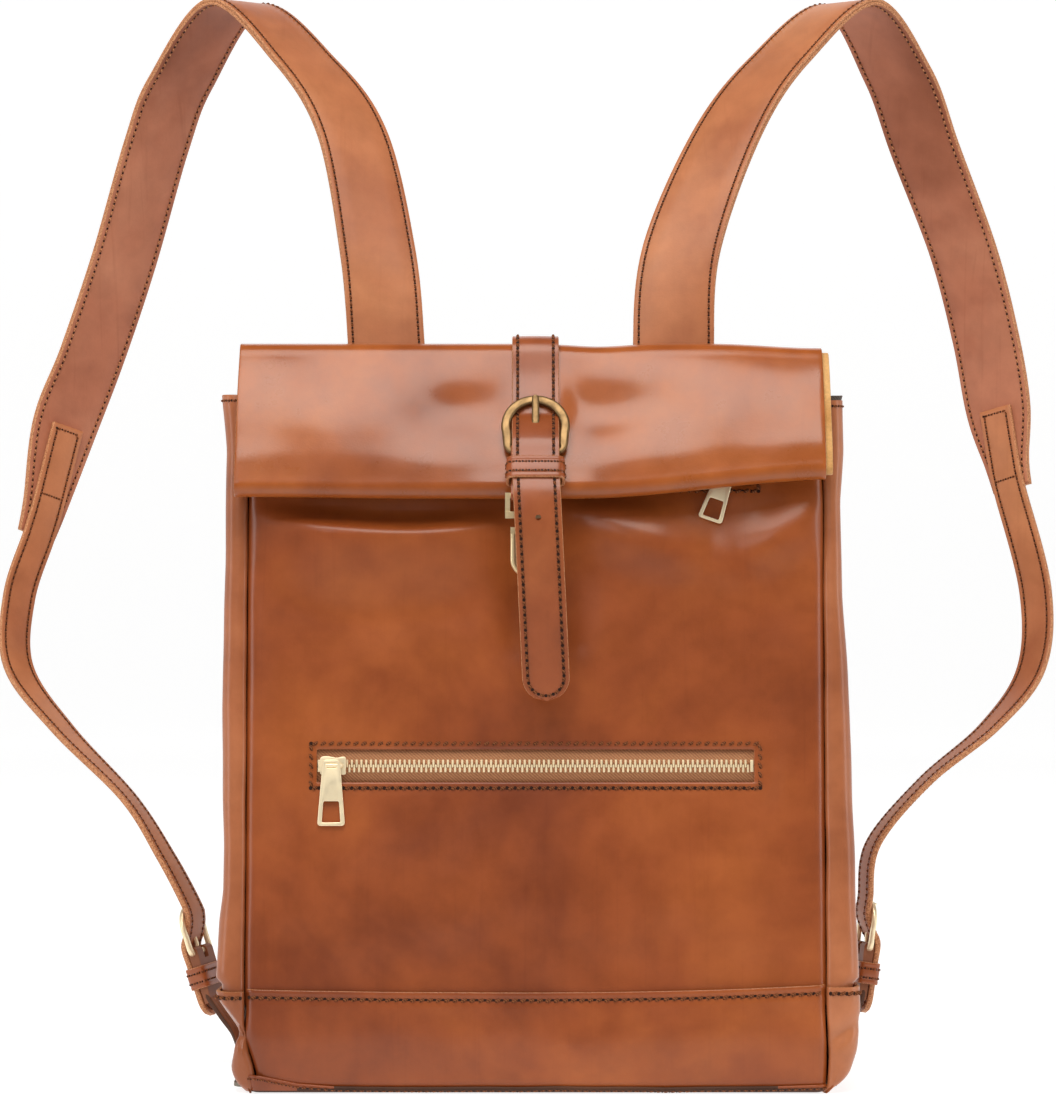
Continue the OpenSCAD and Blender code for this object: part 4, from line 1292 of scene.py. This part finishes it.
def thread_points(ring_top, cross_z):
    """Where a strap threads a buckle, as (y, z) in the buckle's axes."""
    return [(3, ring_top), (3, cross_z + 6), (-0.9, cross_z - 2), (-STRAP_OFF, 3.5)]


def lap(stations, count, distance):
    line = strap_line(stations, 1)
    out = []
    for i in range(len(stations) - count, len(stations)):
        place = line["centre"][i] + distance * line["face"][i]
        out.append((*place, stations[i][3], ADJUSTER_W))
    return out


def adjuster_stations(side):
    axes = shoulder_axes(side)
    ring_c, ring_r, _ = SHOULDER_RING
    path = thread_points(ring_c + ring_r + 1, 12) + [(-STRAP_OFF, -8), (-STRAP_OFF, -22), (-STRAP_OFF, -36)]
    tail = [(*in_axes(axes, (0, y, z)), TAB_TURN[side], ADJUSTER_W) for y, z in path]
    return lap(ROUTES[side], 3, LAYER + STRAP_T / 2 + 0.3) + LOWER_ROUTES[side] + tail


def build_shoulder_strap(side):
    line = even_line(ROUTES[side], 14)
    for name, n0, n1, materials, slot in (
            ("shoulder_strap_", -LAYER - 0.05, -0.02, [STRAP, PAINTED_EDGE, SUEDE], "strap_leather"),
            ("shoulder_lining_", 0.02, LAYER + 0.05, [SUEDE, PAINTED_EDGE, LINING_LEATHER], "strap_lining")):
        piece = strip(name + "leather_" + side, line, n0, n1, materials)
        join_to_bag(piece)
        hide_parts(name + side)
    outer = edge_run(line, EDGE_ROW_IN, -LAYER - 0.15, -1)
    inner = edge_run(line, EDGE_ROW_IN, LAYER + 0.15, 1)
    for name, runs, material in (("outer", outer, DARK_THREAD), ("inner", inner, PALE_THREAD)):
        rows = stitches("shoulder_stitches_%s_%s" % (name, side), runs, material, pitch=3.7, radius=0.62)
        join_to_bag(rows)


def join_to_bag(piece):
    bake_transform(piece)


def build_adjuster(side):
    body = side + "_strap"
    line = even_line(adjuster_stations(side), 12)
    piece = strip("adjuster_leather_" + side, line, -STRAP_T / 2, STRAP_T / 2,
                  [LINING_LEATHER, PAINTED_EDGE, STRAP], tip=True)
    belongs(piece, body, "adjuster_strap_" + side)
    runs = edge_run(line, EDGE_ROW_IN, STRAP_T / 2 + 0.1, 1, start=3, tip=True)
    runs += edge_run(line, EDGE_ROW_IN, -STRAP_T / 2 - 0.1, -1, start=3, tip=True)
    runs += cross_run(line, 3, 2.4, STRAP_T / 2 + 0.15, 1) + cross_run(line, 42, 3.4, STRAP_T / 2 + 0.15, 1)
    thread_rows("adjuster_stitches_" + side, runs, body, pitch=3.4, radius=0.58)


# ---------- buckles and keepers ----------

# The closing strap hangs straight down to STRAP_TURN_Z, then leans aside to its tip.
TIP_Z = low("closing_strap")[2]
TIP_SHIFT = 6.0
STRAP_OVER_R = 12.5
STRAP_TURN_Z = 330.0
PUNCH_Z = 302.0
PUNCH_R = 1.5
# Stations of each lower tab from its sewn end: x, z, turn and width, and how far it stands off the back.
TAB_ROUTES = {
    "left": [(-152, 4, 0, 24), (-153.5, 11, 6, 22), (-159, 20, 28, 20), (-168, 28.5, 54, 20)],
    "right": [(158, 4, 0, 24), (159, 11, -8, 22), (164, 19, -35, 20), (172, 28, -62, 20)],
}
TAB_STAND_OFF = (0.0, 0.4, 4.6, 9.2)


def ring_frame(name, axes, width, ring, thickness, material, node):
    """A horseshoe buckle frame with a round bar, as one closed loop of rounded section."""
    ring_c, ring_r, band = ring
    bar_hw = width / 2 + 2.0
    r = ring_r - band / 2
    arc = [(r * math.cos(a), ring_c + r * math.sin(a)) for a in np.radians(np.linspace(-14, 194, 42))]
    leg_x, leg_top = arc[0]
    leg = [(bar_hw + (leg_x - bar_hw) * (z / leg_top) ** 1.5, z) for z in np.linspace(2.4, leg_top - 1.6, 4)]
    bar = [(x, 0.0) for x in np.linspace(-bar_hw + 1.2, bar_hw - 1.2, 12)]
    loop = leg + arc + [(-x, z) for x, z in leg[::-1]] + bar
    loop = catmull(loop + [loop[0]], 3)[:-1]
    ahead = unit(np.roll(loop, -1, axis=0) - np.roll(loop, 1, axis=0))
    across = np.stack([ahead[:, 1], -ahead[:, 0]], -1)
    share = smoothstep(0.0, 5.0, loop[:, 1])
    a = 1.6 + (band / 2 - 1.6) * share
    b = 1.6 + (thickness / 2 - 1.6) * share
    turn = full_turn(14)
    c, s = np.cos(turn), np.sin(turn)
    section = np.stack([a[:, None] * squarish(c, 0.55), b[:, None] * squarish(s, 0.55)], -1)
    centre = in_axes(axes, np.stack([loop[:, 0], 0 * loop[:, 0], loop[:, 1]], -1))
    side = np.stack([across[:, 0], 0 * across[:, 0], across[:, 1]], -1) @ axes[1]
    face = np.broadcast_to(axes[1][1], side.shape)
    return stands_for(sweep(name, centre, side, face, section, [material], closed=True), node)


def prong(name, axes, ring_top, node, material, half_w):
    """A buckle tongue: a loop round the bar and a shank that tapers to lie on the frame."""
    turn = np.radians(np.linspace(-200, 60, 16))
    loop = [(2.3 * math.cos(a), 2.3 * math.sin(a)) for a in turn]
    shank = [(-0.9, 4.5), (-1.6, ring_top * 0.5), (-2.5, ring_top - 5), (-3.1, ring_top - 1.2)]
    path = catmull(loop[::-1][-4:] + shank, 6)
    centre = np.stack([0 * path[:, 0], path[:, 0], path[:, 1]], -1)
    along = unit(np.gradient(centre, axis=0))
    side = np.tile([1.0, 0, 0], (len(centre), 1))
    face = np.cross(along, side)
    t = np.linspace(0, 1, len(centre))
    width = half_w * (1.12 - 0.3 * t) * np.sqrt(np.clip((1 - t) / 0.05, 0.2, 1))
    round_turn = full_turn(14)
    c, s = np.cos(round_turn), np.sin(round_turn)
    section = np.stack([width[:, None] * squarish(c, 0.6),
                        np.tile(0.95 * squarish(s, 0.7), (len(t), 1))], -1)
    piece = sweep(name, in_axes(axes, centre), side @ axes[1], face @ axes[1], section, [material])
    return stands_for(piece, node)


def keeper(name, axes, width, depth, thick, tall, centre_y, centre_z, node):
    """A closed leather loop round a strap, in a buckle's axes."""
    hw, hd = width / 2 + thick / 2, depth / 2 + thick / 2
    turn = full_turn(72)
    c, s = np.cos(turn), np.sin(turn)
    x = hw * squarish(c, 0.28)
    y = hd * squarish(s, 0.42)
    loop = np.stack([x, y + centre_y, np.full(len(x), float(centre_z))], -1)
    ahead = unit(np.roll(loop, -1, axis=0) - np.roll(loop, 1, axis=0))
    out = np.cross(ahead, [0.0, 0.0, 1.0])
    out = unit(out * np.sign((out * (loop - [0, centre_y, centre_z])).sum(-1, keepdims=True)))
    half = np.full(len(loop), tall / 2)
    section, tags = strip_section(half, -thick / 2, thick / 2, groove=tall * 0.29, crown=0.15, edge=0.35)
    centre = in_axes(axes, loop)
    side = np.broadcast_to(axes[1][2], centre.shape)
    materials = [SUEDE, PAINTED_EDGE, TONGUE]
    piece = sweep(name, centre, side, out @ axes[1], section, materials, tags, closed=True)
    body = frame["nodes"][node]["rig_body"]
    belongs(piece, body, node)
    runs = []
    closed_loop = np.concatenate([loop, loop[:1]])
    normal = np.concatenate([out, out[:1]])
    for h in (-1, 1):
        path = closed_loop + [0, 0, h * tall * 0.21] + normal * (thick / 2 + 0.1)
        runs.append((in_axes(axes, path), normal @ axes[1]))
    thread_rows(name + "_stitches", runs, body, pitch=3.3, radius=0.58)


def chape_axes():
    """The closing chape's axes: z runs up from the hook's bar to the buckle's bar."""
    up = unit(np.array([0.0, *(CLOSING_BAR - HOOK_BAR)]))
    return buckle_axes([0, *HOOK_BAR], up, np.array([1.0, 0, 0]))


def closing_axes():
    """The closing buckle's axes: z runs up the roll's face from the buckle's bar."""
    down = polar(1, roll_slope() - 90)
    return buckle_axes([0, *CLOSING_BAR], -np.array([0.0, *down]), np.array([1.0, 0, 0]))


def roll_slope():
    """The angle that the roll's front face looks out at."""
    return tangent_angle(FOLD, LOBE, FOLD_R + 1, LOBE_R + 1)


def tip_x(z):
    return 0.0 if z > STRAP_TURN_Z else TIP_SHIFT * (STRAP_TURN_Z - z) / (STRAP_TURN_Z - TIP_Z)


def closing_line():
    slope = roll_slope()
    down, out = polar(1, slope - 90), polar(1, slope)
    edge = FOLD + (FOLD_R + 1) * out
    axes = closing_axes()
    ring_c, ring_r, _ = CLOSING_RING
    through = thread_points(ring_c + ring_r, 17) + [(-STRAP_OFF, -4)]
    lean = math.degrees(math.atan2(*(CLOSING_BAR - HOOK_BAR)))
    up = unit(CLOSING_BAR - HOOK_BAR)
    over = [CREST + p for p in polar(STRAP_OVER_R, np.linspace(95, slope, 6))]
    points = over + [edge + 12 * down + 2.1 * out]
    points += [in_axes(axes, (0, y, z))[1:] for y, z in through]
    below = HOOK_BAR + STRAP_OFF * polar(1, lean)
    points += [below + 12 * up, below]
    points += [np.array(p, float) for p in ((-58.4, 304), (-58.8, 292), (-57, 262), (-54, 232), (-51, TIP_Z))]
    return [(tip_x(p[1]), p[0], p[1], 0, CLOSING_W) for p in points]


def back_line():
    """The closing strap's sewn end, up the back and over the fold."""
    points = [(half_depth(z) + 1.9, z) for z in (252, 285, 320, 345)]
    points += [(16.6, 358), (15.0, 368), (12.9, 376)]
    points += [tuple(CREST + p) for p in polar(STRAP_OVER_R, np.linspace(178, 93, 7))]
    return [(0, y, z, 0, CLOSING_W) for y, z in points]


def build_closing_strap():
    line = even_line(closing_line(), 10)
    materials = [LINING_LEATHER, PAINTED_EDGE, TONGUE]
    piece = strip("closing_strap_leather", line, -STRAP_T / 2, STRAP_T / 2, materials, tip=True)
    punch(piece, tip_x(PUNCH_Z), PUNCH_Z)
    runs = edge_run(line, EDGE_ROW_IN, -STRAP_T / 2 - 0.1, -1, tip=True)
    runs += edge_run(line, EDGE_ROW_IN, STRAP_T / 2 + 0.1, 1, tip=True)
    rows = stitches("closing_strap_stitches", runs, DARK_THREAD, pitch=4.0, radius=0.85, share=0.7)
    for obj in (piece, rows):
        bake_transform(obj)
    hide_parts("closing_strap")
    line = even_line(back_line(), 8)
    piece = strip("closing_strap_back_leather", line, -STRAP_T / 2, STRAP_T / 2,
                  [LINING_LEATHER, PAINTED_EDGE, TONGUE])
    runs = edge_run(line, EDGE_ROW_IN, STRAP_T / 2 + 0.1, 1) + cross_run(line, 2.6, 2.4, STRAP_T / 2 + 0.15, 1)
    rows = stitches("closing_strap_back_stitches", runs, DARK_THREAD, pitch=3.7, radius=0.7)
    for obj in (piece, rows):
        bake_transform(obj)
    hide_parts("closing_strap_back")


def punch(obj, x, z):
    """A round hole through a strap, cut in its mesh."""
    turn = full_turn(20)
    ring = np.stack([x + PUNCH_R * np.cos(turn), 0 * turn, z + PUNCH_R * np.sin(turn)], -1)
    verts = np.concatenate([ring + [0, -70, 0], ring + [0, -45, 0]])
    count = len(turn)
    faces = [(i, (i + 1) % count, (i + 1) % count + count, i + count) for i in range(count)]
    faces += [tuple(range(count)), tuple(range(2 * count - 1, count - 1, -1))]
    cutter = clean(make("cutter", verts, faces, [RAW_EDGE]))
    cut = obj.modifiers.new("hole", "BOOLEAN")
    cut.operation = "DIFFERENCE"
    cut.solver = "EXACT"
    cut.object = cutter
    apply_modifiers(obj)
    bpy.data.objects.remove(cutter)
    sharpen(obj)


def sharpen(obj):
    """Keeps flat faces flat in shading: hard edges past an angle, and normals weighted by area."""
    bm = bmesh.new()
    bm.from_mesh(obj.data)
    for edge in bm.edges:
        edge.smooth = edge.calc_face_angle(0) < math.radians(32)
    bm.to_mesh(obj.data)
    bm.free()
    obj.modifiers.new("even_shading", "WEIGHTED_NORMAL").keep_sharp = True


def apply_modifiers(obj):
    graph = bpy.context.evaluated_depsgraph_get()
    mesh = bpy.data.meshes.new_from_object(obj.evaluated_get(graph))
    obj.modifiers.clear()
    obj.data = mesh


def trimmed(obj, point, normal):
    """Cuts away what lies behind a plane, and closes the cut."""
    bm = bmesh.new()
    bm.from_mesh(obj.data)
    everything = bm.verts[:] + bm.edges[:] + bm.faces[:]
    cut = bmesh.ops.bisect_plane(bm, geom=everything, plane_co=point * MM, plane_no=normal, clear_inner=True)
    rim = [e for e in cut["geom_cut"] if isinstance(e, bmesh.types.BMEdge)]
    bmesh.ops.contextual_create(bm, geom=rim)
    bm.to_mesh(obj.data)
    bm.free()
    return obj


def build_lower_tab(side):
    """The lower tab: sewn flat to the back's corner, then twisting out and up to the buckle's bar."""
    root = joint_point(side + "_strap_swing")
    up = unit(joint_point(side + "_prong_turn") - root)
    # The tab pieces wear the darker tab leather, whose darkness is painted shade.
    trimmed(copy_of("lower_tab_" + side, SHADED_TAB_LEATHER, 0.5), root + 28 * up, up)
    sewn_y = 0.5 * (low("tab_root_" + side)[1] + high("tab_root_" + side)[1])
    stations = [(x, sewn_y + off, z, turn, wide)
                for (x, z, turn, wide), off in zip(TAB_ROUTES[side], TAB_STAND_OFF)]
    stations += [(*(root + far * up), TAB_TURN[side], ADJUSTER_W) for far in (33, 43)]
    line = even_line(stations, 8)
    piece = strip("lower_tab_run_" + side, line, -1.4, 1.4, [SHADED_TAB_LEATHER, SOLE, SHADED_TAB_LEATHER])
    runs = edge_run(line, EDGE_ROW_IN, 1.5, 1, start=2.5, stop=13) + cross_run(line, 2.5, 3.0, 1.5, 1)
    rows = stitches("lower_tab_stitches_" + side, runs, DARK_THREAD, pitch=3.6)
    for obj in (piece, rows):
        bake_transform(obj)
    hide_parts("tab_root_" + side)


def build_buckles():
    for side in ("left", "right"):
        axes = shoulder_axes(side)
        ring_frame("shoulder_buckle_frame_" + side, axes, ADJUSTER_W, SHOULDER_RING, 2.6, GOLD,
                   "shoulder_buckle_" + side)
        prong("shoulder_tongue_" + side, axes, SHOULDER_RING[0] + SHOULDER_RING[1], "shoulder_prong_" + side,
              GOLD, 1.3)
        keeper("shoulder_keeper_leather_" + side, axes, ADJUSTER_W + 1, 9.7, 1.4, 12, -1.85, -14,
               "shoulder_keeper_" + side)
        build_lower_tab(side)
    ring_frame("closing_buckle_ring", closing_axes(), CLOSING_W, CLOSING_RING, 2.8, ANTIQUE,
               "closing_buckle_frame")
    prong("closing_buckle_tongue", closing_axes(), CLOSING_RING[0] + CLOSING_RING[1], "closing_buckle_prong",
          ANTIQUE, 2.2)
    keeper("closing_keeper_leather", chape_axes(), CLOSING_W + 2.6, 9.9, 1.6, 12.5, -1.7, 13.5,
           "closing_keeper")
    copy_of("closing_chape", TONGUE, 0.5)


def build_hook():
    for node in ("snap_hook_eye", "snap_hook_body", "snap_hook_gate", "front_d_ring"):
        copy_of(node, HOOK, 0.3)
    copy_of("ring_tab", TONGUE, 0.4)


# ---------- zips ----------

TAPE_OUT = -2.3
TOOTH_PITCH = 2.54
ROW_SHIFT = 8.0
ROW_SPAN = 218.0
TAPE_SHAPE = [(0.1, -3.1), (0.1, -2.6), (1.3, -2.2), (1.7, -1.85), (2.3, -1.95), (2.7, -2.35),
              (13.5, -2.35), (13.8, -3.1)]
SLIDER_EDGE = [(-7.0, -3.4), (-6.4, -4.8), (-3.2, -5.2), (0.2, -4.5), (2.4, -4.1), (4.6, -4.9), (6.8, -4.8)]
CROWN_LINE = [(-5.2, 0.2), (-5.0, 1.6), (-3.6, 2.35), (0, 2.5), (3.4, 2.3), (4.6, 1.5), (4.8, 0.2)]
PULL_EDGE = [(-4.5, 3.2), (4.5, 3.2), (7.4, -31.9), (-7.4, -31.9)]
PULL_SLOT = [(-2.9, -1.3), (-2.9, 1.4), (2.9, 1.4), (2.9, -1.3)]
PULL_WINDOW = [(-4.9, -30.0), (-4.1, -18.9), (4.1, -18.9), (4.9, -30.0)]


def front_place(x, z, up, out):
    """A point by the front plane: up is measured along the panel from height z, and out off its face."""
    x, up, out = np.broadcast_arrays(np.asarray(x, float), up, out)
    base = np.stack([x, np.full(x.shape, -half_depth(z)), np.full(x.shape, z)], -1)
    return base + up[..., None] * FRONT_UP + out[..., None] * FRONT_OUT


def build_tape(name, z, node):
    xs = lines(-WINDOW_HW - 3.8, WINDOW_HW + 3.8, 4)
    for sign, half in ((-1, "_lower"), (1, "_upper")):
        shape = np.array(TAPE_SHAPE) * [sign, 1]
        centre = front_place(xs, z, 0.0, 0.0)
        side = np.broadcast_to(FRONT_UP, centre.shape)
        face = np.broadcast_to(FRONT_OUT, centre.shape)
        tape = sweep(name + half, centre, side, face, shape, [TAPE])
        belongs(tape, "bag", node if sign < 0 else None)


def tooth_template():
    """One tooth: a clamped body and a rounded head that reaches past the middle."""
    outline = [(-0.62, 3.4), (-0.62, 1.0), (-0.45, 0.5), (-0.58, 0.0), (-0.5, -0.6), (0.0, -0.85),
               (0.5, -0.6), (0.58, 0.0), (0.45, 0.5), (0.62, 1.0), (0.62, 3.4)]
    bm = bmesh.new()
    back = [bm.verts.new((x, -1.3, z)) for x, z in outline]
    front = [bm.verts.new((x * 0.8, 1.15, z - 0.05)) for x, z in outline]
    count = len(outline)
    for i in range(count):
        j = (i + 1) % count
        bm.faces.new((back[i], back[j], front[j], front[i]))
    bm.faces.new(back[::-1])
    bm.faces.new(front)
    bmesh.ops.recalc_face_normals(bm, faces=bm.faces)
    bmesh.ops.bevel(bm, geom=[e for e in bm.edges if e.calc_face_angle(0) > 0.8], offset=0.16, segments=1,
                    affect="EDGES")
    bm.verts.ensure_lookup_table()
    verts = np.array([v.co for v in bm.verts])
    faces = [[v.index for v in f.verts] for f in bm.faces]
    bm.free()
    return verts, faces


def build_teeth(name, z, flip, node):
    shape, shape_faces = tooth_template()
    verts, faces = [], []
    for i in range(int(ROW_SPAN / TOOTH_PITCH) + 1):
        for sign in (-1, 1):
            x = -ROW_SPAN / 2 + ROW_SHIFT + (i + (0.5 if sign > 0 else 0)) * TOOTH_PITCH
            if x > ROW_SPAN / 2 + 4.5:
                continue
            x = -x if flip else x
            base = len(verts)
            verts.extend(front_place(x + shape[:, 0], z, sign * shape[:, 2], TAPE_OUT - 0.4 + shape[:, 1]))
            order = 1 if sign > 0 else -1
            faces.extend([[base + k for k in f][::order] for f in shape_faces])
    teeth = make(name, verts, faces, [GOLD])
    teeth.data.polygons.foreach_set("use_smooth", np.zeros(len(teeth.data.polygons), dtype=bool))
    belongs(teeth, "bag", node)


def build_slider(name, z, x, way, tilt, size=1.0, shift=-0.8):
    """A slider with a plate on each side of the teeth, a crown bar, and the pull that hangs from it."""

    def body_place(shift):
        return lambda p: front_place(x + way * p[:, 0], z, p[:, 1], p[:, 2] + shift)

    edge = rounded(SLIDER_EDGE + [(a, -b) for a, b in reversed(SLIDER_EDGE)], 1.0, 3)
    front = plate(name + "_slider_plate", [edge], 1.3, 0.4, GOLD, body_place(0.1))
    stands_for(front, name + "_zip_slider")
    back = plate(name + "_slider_back", [edge], 0.7, 0.25, GOLD, body_place(-4.45))
    crown_line = catmull(CROWN_LINE, 5)
    centre = front_place(x + way * crown_line[:, 0], z, 0.0, crown_line[:, 1])
    along = unit(np.gradient(centre, axis=0))
    side = np.broadcast_to(FRONT_UP, centre.shape)
    turn = full_turn(12)
    section = np.stack([1.15 * np.cos(turn), 0.75 * np.sin(turn)], -1)
    crown = sweep(name + "_slider_crown", centre, side, np.cross(along, side), section, [GOLD])
    for piece in (back, crown):
        belongs(piece, name + "_slider")
    c, s = math.cos(math.radians(tilt)), math.sin(math.radians(tilt))

    def pull_place(p):
        across, up = size * (p[:, 0] * c + p[:, 1] * s), size * (p[:, 1] * c - p[:, 0] * s)
        return front_place(x + shift + across, z, up, p[:, 2] + PULL_OFF + 0.25)

    loops = [rounded(PULL_EDGE, 2.2), rounded(PULL_SLOT, 0.9), rounded(PULL_WINDOW, 1.0)]
    pull = plate(name + "_pull_plate", loops, 1.5, 0.45, GOLD, pull_place)
    stands_for(pull, name + "_zip_pull")


def build_zips():
    for name, z in (("front", FRONT_ZIP_Z), ("upper", UPPER_ZIP_Z)):
        build_tape(name + "_tape_cloth", z, name + "_zip_tape")
        build_teeth(name + "_teeth_brass", z, name == "upper", name + "_zip_teeth")
        copy_of(name + "_zip_stops", GOLD, 0.3)
    build_slider("front", FRONT_ZIP_Z, FRONT_SLIDER_X, 1, 0)
    build_slider("upper", UPPER_ZIP_Z, UPPER_SLIDER_X, -1, 19, 0.92, 2.0)


# ---------- back and inside ----------

# The sides of the strap roots sewn under the patch.
ROOT_IN, ROOT_OUT = 60, 100


def build_back():
    for node in ("strap_patch", "strap_root_left", "strap_root_right"):
        copy_of(node, STRAP, 0.5)
    runs = []
    lo, hi = low("strap_patch"), high("strap_patch")
    inset, patch_out = 3.0, 6.2
    xs = np.linspace(lo[0] + inset, hi[0] - inset, 60)
    zs = np.linspace(lo[2] + inset, hi[2] - inset, 12)
    paths = [(xs, 0 * xs + z) for z in (zs[0], zs[-1])]
    columns = (xs[0], xs[-1], -ROOT_IN + inset, -ROOT_OUT + inset, ROOT_IN - inset, ROOT_OUT - inset)
    paths += [(0 * zs + x, zs) for x in columns]
    for x, z in paths:
        points = np.stack([x, half_depth(z) + patch_out / math.cos(LEAN) + 0.1, z], -1)
        runs.append((points, np.broadcast_to(BACK_OUT, points.shape)))
    thread_rows("strap_patch_stitches", runs, "bag", pitch=3.8)
    frame["nodes"]["base_board"].data.materials.clear()
    frame["nodes"]["base_board"].data.materials.append(BOARD)
    for node in ("front_pocket_bag", "upper_pocket_bag"):
        copy_of(node, LINING, 0.4)


# ---------- the whole bag ----------

set_camera()
set_studio()
set_floor()
build_front_panel()
build_back_panel()
build_sides()
build_bands()
build_bottom()
build_lining()
build_roll()
build_closing_strap()
build_buckles()
build_hook()
build_zips()
build_back()
for strap_side in ("left", "right"):
    build_shoulder_strap(strap_side)
    build_adjuster(strap_side)
